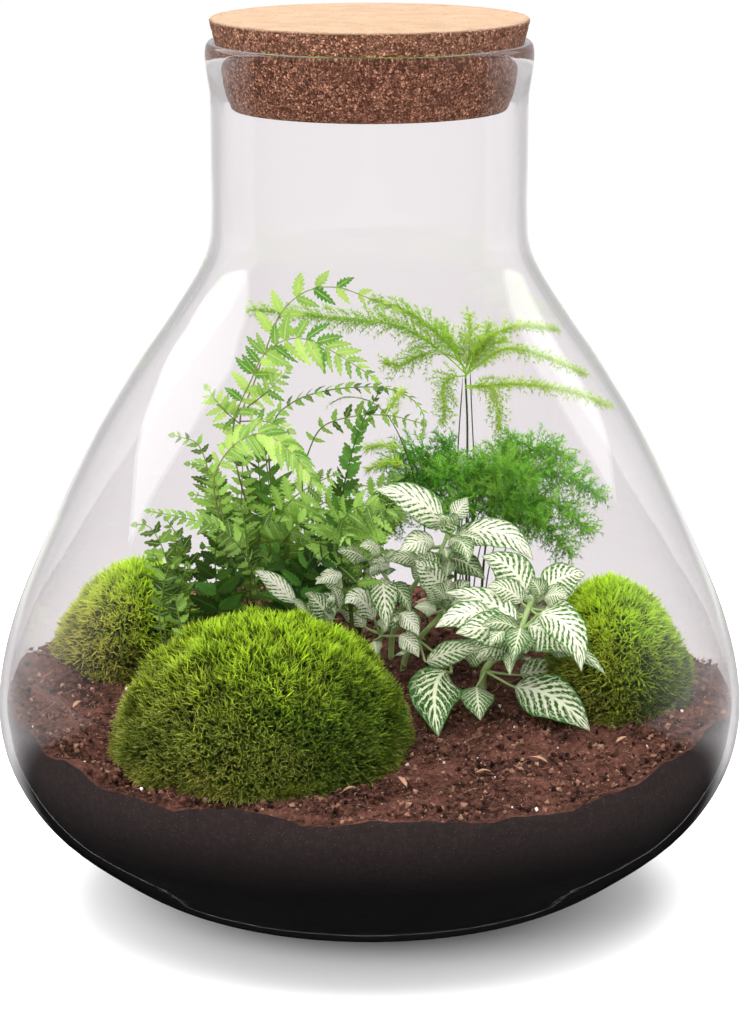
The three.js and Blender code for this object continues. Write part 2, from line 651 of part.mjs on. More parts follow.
const SPRAYS = [
  { name: 'asparagus_fern_upper', root: [41, 66], colour: 'lime',
    stem: [[41, 65, 130], [41, 64, 158], [41, 62, 182], [40, 60, 206]], radius: 0.9,
    arms: [
      { path: [[40, 60, 204], [29, 58, 214], [13, 56, 224], [-16, 54, 228], [-51, 50, 233]], whorls: 9 },
      { path: [[40, 60, 206], [29, 56, 221], [15, 52, 231], [1, 48, 237]], whorls: 6 },
      { path: [[29, 58, 214], [21, 54, 212], [12, 50, 209], [6, 46, 211]], whorls: 4 },
      { path: [[40, 60, 205], [46, 56, 217], [60, 44, 227], [77, 18, 231]], whorls: 6 },
      { path: [[40, 60, 203], [56, 50, 216], [72, 36, 216], [88, 14, 213]], whorls: 5 },
      { path: [[40, 60, 198], [62, 44, 203], [83, 22, 204], [97, 2, 202]], whorls: 6 },
      { path: [[40, 60, 203], [32, 54, 202], [31, 50, 185]], whorls: 4 },
      { path: [[40, 60, 199], [51, 52, 199], [54, 48, 183]], whorls: 4 },
      { path: [[40, 60, 202], [46, 58, 214], [50, 54, 226]], whorls: 5 },
      { path: [[40, 60, 204], [42, 62, 216], [42, 62, 228]], whorls: 5 },
    ] },
  { name: 'asparagus_fern_lower_left', root: [36, 60], colour: 'dark',
    stem: [[36, 60, 120], [34, 58, 140], [31, 56, 155]], radius: 0.8,
    arms: [
      { path: [[31, 56, 153], [22, 53, 163], [12, 48, 160], [2, 44, 148]], whorls: 5 },
      { path: [[33, 57, 148], [26, 52, 156], [16, 46, 152], [8, 40, 142]], whorls: 4 },
      { path: [[31, 56, 154], [26, 56, 168], [17, 54, 172], [6, 52, 166]], whorls: 5 },
      { path: [[31, 56, 154], [34, 54, 167], [30, 50, 178]], whorls: 4 },
    ] },
  { name: 'asparagus_fern_lower_right', root: [47, 60], colour: 'dark',
    stem: [[48, 60, 120], [50, 59, 140], [53, 57, 155]], radius: 0.8,
    arms: [
      { path: [[53, 57, 154], [60, 54, 168], [72, 50, 175], [84, 46, 171]], whorls: 6 },
      { path: [[52, 57, 150], [62, 50, 162], [80, 40, 166], [97, 32, 157]], whorls: 5 },
      { path: [[51, 58, 145], [60, 48, 152], [76, 38, 154], [92, 28, 144]], whorls: 5 },
      { path: [[53, 57, 153], [54, 55, 168], [60, 52, 180]], whorls: 4 },
      { path: [[50, 59, 138], [62, 48, 146], [74, 42, 142], [84, 36, 132]], whorls: 5 },
    ] },
  { name: 'asparagus_fern_lower_front', root: [42, 55], colour: 'dark',
    stem: [[42, 54, 120], [43, 50, 140], [44, 46, 152]], radius: 0.8,
    arms: [
      { path: [[44, 46, 150], [40, 40, 162], [34, 34, 170], [26, 30, 166]], whorls: 5 },
      { path: [[44, 46, 151], [50, 40, 164], [58, 32, 170], [68, 26, 164]], whorls: 5 },
      { path: [[44, 47, 146], [40, 38, 154], [35, 30, 156], [28, 24, 150]], whorls: 4 },
      { path: [[43, 48, 145], [52, 40, 154], [62, 32, 156], [72, 24, 148]], whorls: 5 },
      { path: [[44, 46, 151], [45, 42, 164], [47, 36, 174]], whorls: 4 },
    ] },
];

function sprayPlant(plant) {
  let made = stem(rooted(plant.root, plant.stem), plant.radius, 4, 8);
  for (const arm of plant.arms) {
    made = made.add(spray(arm.path, { whorls: arm.whorls }));
  }
  return made;
}

// Thin twining shoot with short side twigs

const TWINING = { name: 'twining_shoot', root: [24, 38], radius: 0.6,
  path: [[24, 34, 120], [22, 31, 150], [17, 28, 171], [12, 26, 185], [7, 24, 194], [0, 22, 200],
    [-10, 20, 202], [-17, 18, 199]],
  twigs: [
    [[17, 28, 171], [8, 27, 174], [0, 26, 171]],
    [[14, 27, 179], [6, 25, 181], [-1, 24, 180]],
    [[7, 24, 194], [10, 22, 200], [13, 20, 204]],
  ] };

function twiningShoot() {
  let made = stem(rooted(TWINING.root, TWINING.path), TWINING.radius, 4, 10);
  for (const twig of TWINING.twigs) {
    made = made.add(spray(twig, { whorls: 2, needle: 3, radius: 0.45, leafy: 0.3 }));
  }
  return made;
}

// Colours

const GLASS = new THREE.MeshStandardMaterial({
  color: 0xe9eceb, roughness: 0.05, metalness: 0, transparent: true, opacity: 0.3,
});
const CORK = new THREE.MeshStandardMaterial({ color: 0xd9a36b, roughness: 0.85, metalness: 0 });
const SOIL = new THREE.MeshStandardMaterial({ color: 0x3a241b, roughness: 0.95, metalness: 0 });
const MOSS = new THREE.MeshStandardMaterial({ color: 0x6f9a1e, roughness: 0.9, metalness: 0 });
const NERVE = new THREE.MeshStandardMaterial({ color: 0x9cc48a, roughness: 0.6, metalness: 0 });
const FERN = {
  lime: new THREE.MeshStandardMaterial({ color: 0x8fce3c, roughness: 0.6, metalness: 0 }),
  leaf: new THREE.MeshStandardMaterial({ color: 0x5fa02e, roughness: 0.6, metalness: 0 }),
  dark: new THREE.MeshStandardMaterial({ color: 0x2c6b2a, roughness: 0.55, metalness: 0 }),
};

// Assembly

const group = new THREE.Group();
const holes = []; // in the soil: x, y, and the radius of the stalk that stands there

function place(name, made, material) {
  const mesh = new THREE.Mesh(geometryOf(made), material);
  mesh.name = name;
  group.add(mesh);
}

place('glass_bottle', glassBottle(), GLASS);
place('cork_stopper', corkStopper(), CORK);
for (const fern of FERNS) {
  place(fern.name, frond(fern), FERN[fern.colour]);
  holes.push([...fern.root, STALK * Math.SQRT2]);
}
for (const stalk of SMALL_LEAVED) {
  place(stalk.name, frond({ ...stalk, face: FRONT, lean: 30, swell: 0.5 }), FERN.leaf);
  holes.push([...stalk.root, STALK * Math.SQRT2]);
}
for (const plant of NERVE_STEMS) {
  place(plant.name, nervePlant(plant), NERVE);
  holes.push([...plant.root, plant.radius]);
}
for (const plant of SPRAYS) {
  place(plant.name, sprayPlant(plant), FERN[plant.colour]);
  holes.push([...plant.root, plant.radius]);
}
place(TWINING.name, twiningShoot(), FERN.leaf);
holes.push([...TWINING.root, TWINING.radius]);

let soil = soilBed();
for (const moss of MOSSES) {
  place(moss.name, mossCushion(moss, 0), MOSS);
  soil = soil.subtract(mossCushion(moss, CLEARANCE));
}
for (const [x, y, stalk] of holes) {
  const radius = (stalk + HOLE_MARGIN) * Math.SQRT2;
  const hole = new THREE.CylinderGeometry(radius, radius, HOLE_DEPTH + HOLE_ABOVE, 4);
  hole.rotateX(Math.PI / 2);
  hole.translate(x, y, ground(x, y) + (HOLE_ABOVE - HOLE_DEPTH) / 2);
  soil = soil.subtract(weld(hole));
}
place('soil', soil, SOIL);

export default group;
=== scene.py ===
# Looks of a closed plant garden in a flask-shaped glass bottle with a cork stopper.
# Sizes are millimetres in the plants' own lists and become metres when a mesh is made.

from dataclasses import dataclass, replace
from math import cos, pi, radians, sin

import bpy
import numpy as np
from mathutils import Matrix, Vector, noise


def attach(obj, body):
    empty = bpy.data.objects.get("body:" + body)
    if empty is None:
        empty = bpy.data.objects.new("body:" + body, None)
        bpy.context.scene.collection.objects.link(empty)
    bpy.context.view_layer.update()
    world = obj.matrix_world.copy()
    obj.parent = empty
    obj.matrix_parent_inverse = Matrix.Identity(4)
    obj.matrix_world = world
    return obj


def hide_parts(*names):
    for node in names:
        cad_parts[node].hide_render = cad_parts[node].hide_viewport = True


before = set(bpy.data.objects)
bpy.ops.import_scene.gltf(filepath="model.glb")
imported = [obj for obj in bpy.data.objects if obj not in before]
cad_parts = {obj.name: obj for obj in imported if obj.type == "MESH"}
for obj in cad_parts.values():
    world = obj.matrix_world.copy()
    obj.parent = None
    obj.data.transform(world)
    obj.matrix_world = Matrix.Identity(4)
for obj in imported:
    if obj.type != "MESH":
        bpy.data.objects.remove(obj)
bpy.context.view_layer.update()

MM = 0.001
WALL = 3.0
FLOOR = 3.5
CLEARANCE = 0.4
SOIL_FRONT, SOIL_RISE, SOIL_SIDES, SOIL_CROWN = 76, 16, 12, 5
HOLE_DEPTH = 12
CORK_TOP, CORK_DEPTH, CORK_RADIUS, CORK_TAPER = 357, 35, 62.7, 0.25
GLASS_COLUMNS, CORK_COLUMNS, SOIL_COLUMNS, MOSS_COLUMNS = 132, 170, 360, 64
GOLDEN = pi * (3 - 5 ** 0.5)
WHITE = (1, 1, 1, 1)

# What a point of a mesh keeps: how far along its part it is, how far beside the rib, and its tone
LABELS = ("along", "beside", "tone")

# Radius and height of the bottle's outside, from the floor over the top of the neck to the rim
OUTSIDE = [
    (50.8, 0), (71, 4), (94, 11), (112.2, 22), (133.7, 40), (145.8, 60), (149.8, 80), (148.2, 98),
    (142.4, 120), (130.2, 149), (110.6, 190), (92.8, 219.5), (78.6, 240), (67.4, 258), (63.6, 267),
    (62.5, 280), (62.5, 300), (62.5, 328), (64.3, 340), (64.3, 344.5), (63.7, 346.8), (62.4, 348),
]
NECK_TOP = 17
RIM_INSIDE = [(61.2, 347.4), (60.5, 345), (59.5, 335)]


# Colours and materials


def colour(code):
    """A linear colour from its sRGB code."""
    channels = [int(code[i : i + 2], 16) / 255 for i in (0, 2, 4)]
    linear = [c / 12.92 if c < 0.04045 else ((c + 0.055) / 1.055) ** 2.4 for c in channels]
    return (*linear, 1.0)


class Paint:
    """Builds the nodes of one material, or of the world. A colour may be given as its code."""

    def __init__(self, name, world=None):
        self.material = world or bpy.data.materials.new(name)
        self.material.use_nodes = True
        self.tree = self.material.node_tree
        self.tree.nodes.clear()
        self.output = self.tree.nodes.new("ShaderNodeOutput" + ("World" if world else "Material")).inputs

    def feed(self, socket, value):
        if isinstance(value, bpy.types.NodeSocket):
            self.tree.links.new(value, socket)
        else:
            socket.default_value = colour(value) if isinstance(value, str) else value

    def node(self, kind, inputs=None, out=None, **settings):
        """A new node: the output asked for, or all of its outputs."""
        made = self.tree.nodes.new("ShaderNode" + kind)
        for name, value in settings.items():
            setattr(made, name, value)
        for name, value in (inputs or {}).items():
            self.feed(made.inputs[name], value)
        return made.outputs if out is None else made.outputs[out]

    def value(self, name):
        """A number that the mesh keeps for each of its points."""
        return self.node("Attribute", out="Fac", attribute_name=name)

    def values(self):
        return [self.value(name) for name in LABELS]

    def place(self):
        return self.node("TexCoord", out="Object")

    def math(self, operation, a, b=0.0, c=0.0):
        return self.node("Math", {0: a, 1: b, 2: c}, 0, operation=operation)

    def vector(self, operation, inputs):
        return self.node("VectorMath", inputs, "Vector", operation=operation)

    def most(self, a, b):
        return self.math("MAXIMUM", a, b)

    def times(self, a, b, plus=None):
        """a times b, and plus what is given."""
        return self.math("MULTIPLY", a, b) if plus is None else self.math("MULTIPLY_ADD", a, b, plus)

    def ripple(self, value):
        """Falls to 0 halfway between whole numbers, for veins at even distances."""
        return self.math("ABSOLUTE", self.math("SUBTRACT", self.math("FRACT", value), 0.5))

    def step(self, value, low, high, to_low=0.0, to_high=1.0):
        """Goes smoothly from to_low to to_high as the value goes from low to high."""
        inputs = {"Value": value, "From Min": low, "From Max": high, "To Min": to_low, "To Max": to_high}
        return self.node("MapRange", inputs, "Result", interpolation_type="SMOOTHSTEP")

    def mix(self, share, a, b):
        return self.node("Mix", {0: share, 6: a, 7: b}, 2, data_type="RGBA")

    def noise(self, size, detail=3.0, rough=0.55):
        """Noise whose lumps measure about size millimetres."""
        inputs = {"Vector": self.place(), "Scale": 1 / (size * MM), "Detail": detail, "Roughness": rough}
        return self.node("TexNoise", inputs, "Fac")

    def cells(self, size, feature="F1", vector=None, out="Distance"):
        inputs = {"Vector": vector or self.place(), "Scale": 1 / (size * MM)}
        return self.node("TexVoronoi", inputs, out, feature=feature)

    def warped(self, reach):
        """Places pushed by up to about reach millimetres, for cells with uneven edges."""
        push = self.node("TexNoise", {"Vector": self.place(), "Scale": 900.0, "Detail": 2.0}, "Color")
        centred = self.vector("ADD", {0: push, 1: (-0.5, -0.5, -0.5)})
        return self.vector("ADD", {0: self.place(), 1: self.vector("SCALE", {0: centred, 3: 2 * reach * MM})})

    def bump(self, height, depth, strength=1.0):
        """Relief whose full height is depth millimetres."""
        return self.node("Bump", {"Height": height, "Distance": depth * MM, "Strength": strength}, "Normal")

    def surface(self, shader):
        self.tree.links.new(shader, self.output["Surface"])
        return self.material

    def glow(self, tint, strength):
        return self.node("Emission", {"Color": tint, "Strength": strength}, "Emission")

    def either(self, share, a, b):
        """One shader, or the other as the share goes to 1."""
        return self.node("MixShader", {0: share, 1: a, 2: b}, "Shader")

    def solid(self, tint, roughness, normal=None, specular=0.5, **more):
        inputs = {"Base Color": tint, "Roughness": roughness, "Specular IOR Level": specular, **more}
        if normal is not None:
            inputs["Normal"] = normal
        return self.node("BsdfPrincipled", inputs, "BSDF")

    def leafy(self, tint, through, roughness, normal, share, specular=0.5):
        """A thin leaf: what it reflects, mixed with the light that comes through it."""
        front = self.solid(tint, roughness, normal, specular)
        return self.either(share, front, self.node("BsdfTranslucent", {"Color": through}, "BSDF"))


# Rays beyond these counts have run on inside the wall, or have come through both walls of the bottle
LAST_BOUNCE = 4.5
WALLS_PASSED = 3.5
GLASS_TINT = "f8f6f7"


def glass_material():
    """Clear glass, open to the light of the plants and to rays that would run on inside the wall."""
    p = Paint("clear_glass")
    wave = p.bump(p.noise(38, detail=1.0), 0.3, 0.2)
    body = p.solid(GLASS_TINT, 0.0, wave, **{"IOR": 1.47, "Transmission Weight": 1.0})
    ray = p.node("LightPath")
    lit = p.most(ray["Is Shadow Ray"], ray["Is Diffuse Ray"])
    lit = p.most(lit, p.math("GREATER_THAN", ray["Ray Depth"], LAST_BOUNCE))
    return p.surface(p.either(lit, body, p.node("BsdfTransparent", {"Color": GLASS_TINT}, "BSDF")))


def cork_material():
    """Pressed cork: the value beside is 1 on the sanded top and 0 on the rough side, whose pits and gaps are
    darkened as painted shade.
    """
    p = Paint("pressed_cork")
    top = p.value("beside")
    spot = p.warped(1.0)
    grain = p.node("SeparateColor", {"Color": p.cells(1.15, vector=spot, out="Color")}, "Red")
    gaps = p.step(p.cells(1.15, feature="DISTANCE_TO_EDGE", vector=spot), -0.1, 0.25)
    fine = p.noise(0.7, detail=4)
    side = p.mix(grain, "74402a", "e4a684")
    # Painted shade: the rough side is darker in the pits of the fine noise and in the gaps between granules,
    # which are also dark in themselves
    side = p.mix(p.step(fine, 0.35, 0.7), p.mix(0.75, side, "26130c"), side)
    side = p.mix(gaps, "3a2116", side)
    sanded = p.mix(p.step(p.noise(9), 0.3, 0.7), "8e7660", "998069")
    specks = p.step(p.cells(3.8), 0.05, 0.19)
    sanded = p.mix(specks, p.mix(grain, "553319", "77563a"), sanded)
    sanded = p.mix(p.step(fine, 0.3, 0.5), p.mix(0.5, sanded, "745e48"), sanded)
    tint = p.mix(top, side, sanded)
    height = p.math("ADD", p.times(gaps, 0.7), fine)
    normal = p.bump(p.times(height, p.times(top, -0.85, plus=1.0)), 1.3)
    return p.surface(p.solid(tint, 0.88, normal, specular=0.2))


def soil_material():
    """Damp soil: the value beside is 1 where it is pressed against the glass, where painted shade darkens it
    toward the bottom.
    """
    p = Paint("dark_soil")
    pressed = p.value("beside")
    lumps = p.noise(2.4, detail=6, rough=0.7)
    patches = p.noise(26, detail=2)
    loose = p.mix(p.step(lumps, 0.36, 0.7), "0c0604", "5f4034")
    loose = p.mix(p.step(patches, 0.35, 0.7), loose, p.mix(0.4, loose, "7d5346"))
    specks = p.step(p.cells(1.5), 0.06, 0.18)
    loose = p.mix(specks, p.mix(p.noise(3), "6a4a3c", "a98b78"), loose)
    height = p.node("SeparateXYZ", {"Vector": p.place()}, "Z")
    # Painted shade: the soil against the glass gets darker toward the bottom of the bottle
    deep = p.step(height, 0.078, 0.04)
    wet_and_shaded = p.mix(deep, "302826", "020202")
    wet_and_shaded = p.mix(p.step(lumps, 0.4, 0.7), p.mix(0.4, wet_and_shaded, "0d0b0b"), wet_and_shaded)
    grit = p.step(p.cells(1.3), 0.04, 0.15)
    wet_and_shaded = p.mix(grit, p.mix(deep, "75625c", "1c1a1b"), wet_and_shaded)
    tint = p.mix(pressed, loose, wet_and_shaded)
    normal = p.bump(p.noise(1.6, detail=5, rough=0.7), 1.2, 0.9)
    return p.surface(p.solid(tint, 0.9, normal, specular=0.1))


def crumb_material():
    """Crumbs, fibres, specks and litter, told apart by the value tone."""
    p = Paint("soil_crumbs")
    tone = p.value("tone")
    dark = p.mix(p.step(tone, 0.0, 0.5), "120a07", "6c4839")
    tint = p.mix(p.step(tone, 0.5, 0.9), dark, "b08c72")
    tint = p.mix(p.step(tone, 0.93, 1.0), tint, "efe6da")
    tint = p.mix(p.step(p.noise(1.2), 0.3, 0.7), p.mix(0.35, tint, "1b0f0a"), tint)
    normal = p.bump(p.noise(0.8, detail=4), 0.4, 0.8)
    return p.surface(p.solid(tint, 0.85, normal, specular=0.25))


def moss_material():
    """Moss blades: along runs from foot to tip, beside is how yellow and tone how light the shoot is. The
    feet are darkened as painted shade and the pale tips lightened further as a painted highlight.
    """
    p = Paint("cushion_moss")
    along, yellow, tone = p.values()
    shaded = p.mix(yellow, "0f1c02", "2c2c0a")
    body = p.mix(tone, "235a04", "c0ec2c")
    body = p.mix(yellow, body, "cfc64c")
    tip = p.mix(yellow, "d8ee6c", "fbf6b4")
    # Painted shade: the blades are darker toward their feet, the more so on shoots of low tone
    lit = p.step(p.times(tone, 0.5, along), 0.45, 1.05)
    tint = p.mix(lit, shaded, body)
    # The tips are paler, and lightened further as a painted highlight
    tint = p.mix(p.step(along, 0.75, 1.1), tint, tip)
    tint = p.mix(p.step(p.noise(7, detail=2), 0.3, 0.7), p.mix(0.3, tint, "2c5a06"), tint)
    normal = p.bump(p.noise(0.5), 0.1, 0.5)
    through = p.mix(0.5, tint, "c3dd3c")
    return p.surface(p.leafy(tint, through, 0.55, normal, 0.3, specular=0.15))


def leaf_material(name, deep, fresh, vein, stalk, gloss=0.45):
    """Fern leaf: beside is 0 on the rib, 1 on the edge and 2 on the stalk."""
    p = Paint(name)
    along, signed, tone = p.values()
    beside = p.math("ABSOLUTE", signed)
    share = p.times(p.noise(5), 0.5, p.times(tone, 0.9, -0.2))
    tint = p.mix(p.step(share, 0.0, 1.0), deep, fresh)
    slope = p.times(beside, -0.9, p.times(along, 14.0))
    side_veins = p.step(p.ripple(slope), 0.09, 0.01, 0.0, 0.35)
    veins = p.most(side_veins, p.step(beside, 0.14, 0.03, 0.0, 0.75))
    tint = p.mix(veins, tint, vein)
    tint = p.mix(p.step(beside, 0.85, 1.02, 0.0, 0.25), tint, deep)
    on_stalk = p.step(beside, 1.4, 1.6)
    bark = p.mix(p.step(along, 0.2, 0.95), stalk, p.mix(0.5, stalk, fresh))
    tint = p.mix(on_stalk, tint, bark)
    height = p.times(veins, -0.8, p.noise(1.5))
    normal = p.bump(height, 0.25, 0.8)
    through = p.mix(0.35, tint, "b9dc3c")
    return p.surface(p.leafy(tint, through, gloss, normal, 0.22))


def nerve_material():
    """Veined leaf: along and beside place a point on the leaf, and tone is how white the leaf is."""
    p = Paint("nerve_leaf")
    along, signed, pale = p.values()
    beside = p.math("ABSOLUTE", signed)
    spot = p.node("CombineXYZ", {"X": along, "Y": signed, "Z": pale}, "Vector")
    jag = p.node("TexNoise", {"Vector": spot, "Scale": 9.0, "Detail": 2.0}, "Fac")
    phase = p.times(beside, -2.4, p.times(along, 9.0))
    phase = p.times(jag, 0.9, phase)
    width = p.times(pale, 0.2, p.step(beside, 0.0, 1.0, 0.18, 0.01))
    veins = p.step(p.math("SUBTRACT", p.ripple(phase), width), 0.05, -0.04)
    net = {"X": p.times(phase, 1.5), "Y": p.times(signed, 3.6), "Z": pale}
    inputs = {"Vector": p.node("CombineXYZ", net, "Vector"), "Scale": 1.0}
    cell_edge = p.node("TexVoronoi", inputs, "Distance", feature="DISTANCE_TO_EDGE")
    thread = p.times(pale, 0.04, 0.015)
    net = p.step(p.math("SUBTRACT", cell_edge, thread), 0.04, -0.01, 0.0, 0.75)
    rib = p.step(beside, 0.11, 0.04)
    white_share = p.most(p.most(veins, net), rib)
    white_share = p.times(white_share, p.step(beside, 1.0, 0.84, 0.1, 1.0))
    gap = p.math("SUBTRACT", 1.0, white_share)
    green = p.mix(pale, "17480a", "4f9420")
    green = p.mix(p.noise(4), green, "2f6c20")
    white = p.mix(pale, "dceac0", "fbfce8")
    tint = p.mix(gap, white, green)
    on_stalk = p.step(beside, 1.4, 1.6)
    tint = p.mix(on_stalk, tint, p.mix(p.noise(6), "8fb45c", "c6d9a0"))
    normal = p.bump(p.times(gap, 0.8, p.noise(1.6)), 0.35, 0.8)
    through = p.mix(0.35, tint, "bfe070")
    return p.surface(p.leafy(tint, through, 0.45, normal, 0.28))


def needle_material(name, deep, fresh, tip):
    """Asparagus fern: beside is 2 on stems, tone is how fresh a twig is."""
    p = Paint(name)
    along, beside, tone = p.values()
    tint = p.mix(tone, deep, fresh)
    tint = p.mix(p.step(along, 0.3, 1.2), tint, tip)
    tint = p.mix(p.step(p.noise(11), 0.35, 0.7), p.mix(0.35, tint, deep), tint)
    on_stem = p.step(beside, 1.4, 1.6)
    tint = p.mix(on_stem, tint, p.mix(p.noise(5), "2b3a1c", "57662f"))
    through = p.mix(0.3, tint, "d8fa50")
    normal = p.bump(p.noise(0.8), 0.1, 0.4)
    return p.surface(p.leafy(tint, through, 0.5, normal, 0.55, specular=0.3))


def floor_material():
    """White floor that turns into an even white backdrop; the glass shows it greyer, and dark in front."""
    p = Paint("studio_floor")
    place = p.node("SeparateXYZ", {"Vector": p.place()})
    far, aside = place["Y"], p.math("ABSOLUTE", place["X"])
    tint = p.mix(p.noise(300, detail=1), (0.93, 0.93, 0.93, 1), (0.97, 0.97, 0.97, 1))
    white = p.either(p.step(far, 0.35, 1.1), p.solid(tint, 0.9, specular=0.0), p.glow(WHITE, 1.02))
    seen = p.times(far, -0.13, plus=aside)
    ray = p.node("LightPath")
    beyond = p.math("GREATER_THAN", ray["Transmission Depth"], WALLS_PASSED)
    strength = p.most(p.step(far, 0.04, 0.16, 0.01, 1.08), beyond)
    strength = p.times(strength, p.step(seen, 0.2, 0.6, 1, 0.6))
    mirrored = p.math("SUBTRACT", ray["Is Glossy Ray"], ray["Is Transmission Ray"])
    strength = p.times(strength, p.step(mirrored, 0, 1, 1, p.step(far, 0.45, 0.9, 0.4, 1)))
    through = p.most(ray["Is Glossy Ray"], ray["Is Transmission Ray"])
    return p.surface(p.either(through, white, p.glow((1, 0.985, 0.99, 1), strength)))


# Meshes


def unit(vectors):
    vectors = np.asarray(vectors, float)
    return vectors / np.maximum(np.linalg.norm(vectors, axis=-1, keepdims=True), 1e-9)


def turns(sides):
    """Even angles all round."""
    return np.arange(sides) / sides * 2 * pi


def fan(axes, helper, around):
    """Directions square to each axis, at the angles around."""
    side = unit(np.cross(axes, helper))
    other = np.cross(axes, side)
    return side[:, None] * np.cos(around)[..., None] + other[:, None] * np.sin(around)[..., None]


class Gather:
    """Keeps points, faces and the three values of each point until they become one mesh."""

    def __init__(self):
        self.points = []
        self.values = []
        self.faces = {3: [], 4: []}
        self.count = 0

    def add(self, points, faces, along=0.0, beside=0.0, tone=0.5):
        points = np.asarray(points, float).reshape(-1, 3)
        n = len(points)
        values = [np.broadcast_to(np.asarray(v, float).ravel(), n) for v in (along, beside, tone)]
        self.points.append(points)
        self.values.append(np.column_stack(values))
        faces = np.asarray(faces, int)
        self.faces[faces.shape[1]].append(faces + self.count)
        self.count += n

    def grid(self, points, wrap=False, **values):
        """Four-sided faces over rows and columns of points."""
        rows, columns = points.shape[:2]
        number = np.arange(rows * columns).reshape(rows, columns)
        if wrap:
            number = np.hstack([number, number[:, :1]])
        corners = [number[:-1, :-1], number[:-1, 1:], number[1:, 1:], number[1:, :-1]]
        self.add(points, np.stack(corners, axis=-1).reshape(-1, 4), **values)

    def piece(self, name, material, slot, *nodes, smooth=True, held=True):
        """Makes the mesh, which rides on the root body and stands for the named nodes."""
        points = np.vstack(self.points)
        if held:
            points = keep_inside(points)
        faces = [f for kind in self.faces.values() for block in kind for f in block.tolist()]
        mesh = bpy.data.meshes.new(name)
        mesh.from_pydata((points * MM).tolist(), [], faces)
        values = np.vstack(self.values)
        for k, label in enumerate(LABELS):
            mesh.attributes.new(label, "FLOAT", "POINT").data.foreach_set("value", values[:, k])
        mesh.polygons.foreach_set("use_smooth", [smooth] * len(mesh.polygons))
        mesh.materials.append(material)
        made = bpy.data.objects.new(name, mesh)
        bpy.context.collection.objects.link(made)
        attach(made, "root")
        if nodes:
            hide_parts(*nodes)


def catmull_rom(points, steps=16):
    """Close points on a smooth curve through the given points."""
    p = np.asarray(points, float)
    p = np.vstack([2 * p[0] - p[1], p, 2 * p[-1] - p[-2]])
    fine = []
    for p0, p1, p2, p3 in zip(p, p[1:], p[2:], p[3:]):
        gaps = [max(np.linalg.norm(b - a), 1e-6) ** 0.5 for a, b in ((p0, p1), (p1, p2), (p2, p3))]
        knots = np.cumsum([0.0, *gaps])
        t = np.linspace(knots[1], knots[2], steps, endpoint=False)[:, None]
        mixed = [p0, p1, p2, p3]
        for reach, starts in ((1, (0, 1, 2)), (2, (0, 1)), (1, (1,))):
            spans = [(knots[i], knots[i + reach]) for i in starts]
            mixed = [(end - t) / (end - start) * a + (t - start) / (end - start) * b
                     for (start, end), a, b in zip(spans, mixed, mixed[1:])]
        fine.append(mixed[0])
    return np.vstack([*fine, p[-2]])


class Line:
    """A smooth curve with evenly shared length."""

    def __init__(self, points):
        self.points = catmull_rom(points)
        steps = np.linalg.norm(np.diff(self.points, axis=0), axis=1)
        self.reach = np.concatenate([[0.0], np.cumsum(steps)])
        self.length = self.reach[-1]

    def at(self, share):
        s = np.atleast_1d(share) * self.length
        return np.column_stack([np.interp(s, self.reach, self.points[:, k]) for k in range(3)])

    def frames(self, share, face):
        """Place, direction along, direction out of the face, and direction across."""
        share = np.atleast_1d(share)
        near = 0.6 / self.length
        along = unit(self.at(np.minimum(share + near, 1)) - self.at(np.maximum(share - near, 0)))
        face = np.asarray(face, float)
        out = unit(face - along * (along @ face)[:, None])
        return self.at(share), along, out, np.cross(along, out)

    def frame(self, share, face):
        """The same at one place."""
        return (vectors[0] for vectors in self.frames(share, face))


def tube(gather, line, radius, sides=6, rows=24, taper=0.4, **values):
    """A round stem with a pointed end."""
    share = np.linspace(0, 1, rows)
    at, _, out, across = line.frames(share, (0.31, -0.42, 0.85))
    turn = turns(sides)
    thick = radius * (1 - taper * share)
    thick[-1] *= 0.2
    ring = out[:, None] * np.cos(turn)[None, :, None] + across[:, None] * np.sin(turn)[None, :, None]
    points = at[:, None] + ring * thick[:, None, None]
    values = {"along": np.repeat(share, sides), "beside": 2.0, **values}
    gather.grid(points, wrap=True, **values)


# The bottle's line


def offset_inside(distance):
    """The outside line moved in by a distance, from the floor up to the neck."""
    line = catmull_rom(OUTSIDE[: NECK_TOP + 1], 6)
    along = unit(np.gradient(line, axis=0))
    moved = line + np.column_stack([-along[:, 1], along[:, 0]]) * distance
    floor = FLOOR - WALL + distance
    return np.vstack([[51 - distance, floor], moved[moved[:, 1] > floor + 0.5]])


INSIDE = offset_inside(WALL)
SOIL_LINE = offset_inside(WALL + CLEARANCE)


def keep_inside(points, gap=0.9):
    """Draws in whatever would reach through the glass."""
    room = np.interp(points[:, 2], INSIDE[:, 1], INSIDE[:, 0]) - gap
    far = np.hypot(points[:, 0], points[:, 1])
    share = np.minimum(room / np.maximum(far, 1e-6), 1.0)
    return points * np.column_stack([share, share, np.ones(len(points))])


def lathe(profile, sides):
    """Rings of points from radii and heights."""
    turn = turns(sides)
    profile = np.asarray(profile, float)
    circle = np.column_stack([np.cos(turn), np.sin(turn), np.zeros(sides)])
    height = np.zeros((len(profile), sides, 3))
    height[:, :, 2] = profile[:, 1][:, None]
    return circle[None] * profile[:, 0][:, None, None] + height


def glass_bottle(material):
    outer = catmull_rom([(0.01, 0.0), (25, 0), *OUTSIDE[:1]], 4)[:-1]
    side = catmull_rom(OUTSIDE[: NECK_TOP + 1], 6)
    rim = catmull_rom([*OUTSIDE[NECK_TOP:], *RIM_INSIDE], 5)
    inner = np.vstack([INSIDE[::-1], [(25, FLOOR), (0.01, FLOOR)]])
    gather = Gather()
    gather.grid(lathe(np.vstack([outer, side, rim[1:], inner]), GLASS_COLUMNS), wrap=True)
    gather.piece("bottle_glass", material, "glass", "glass_bottle", held=False)


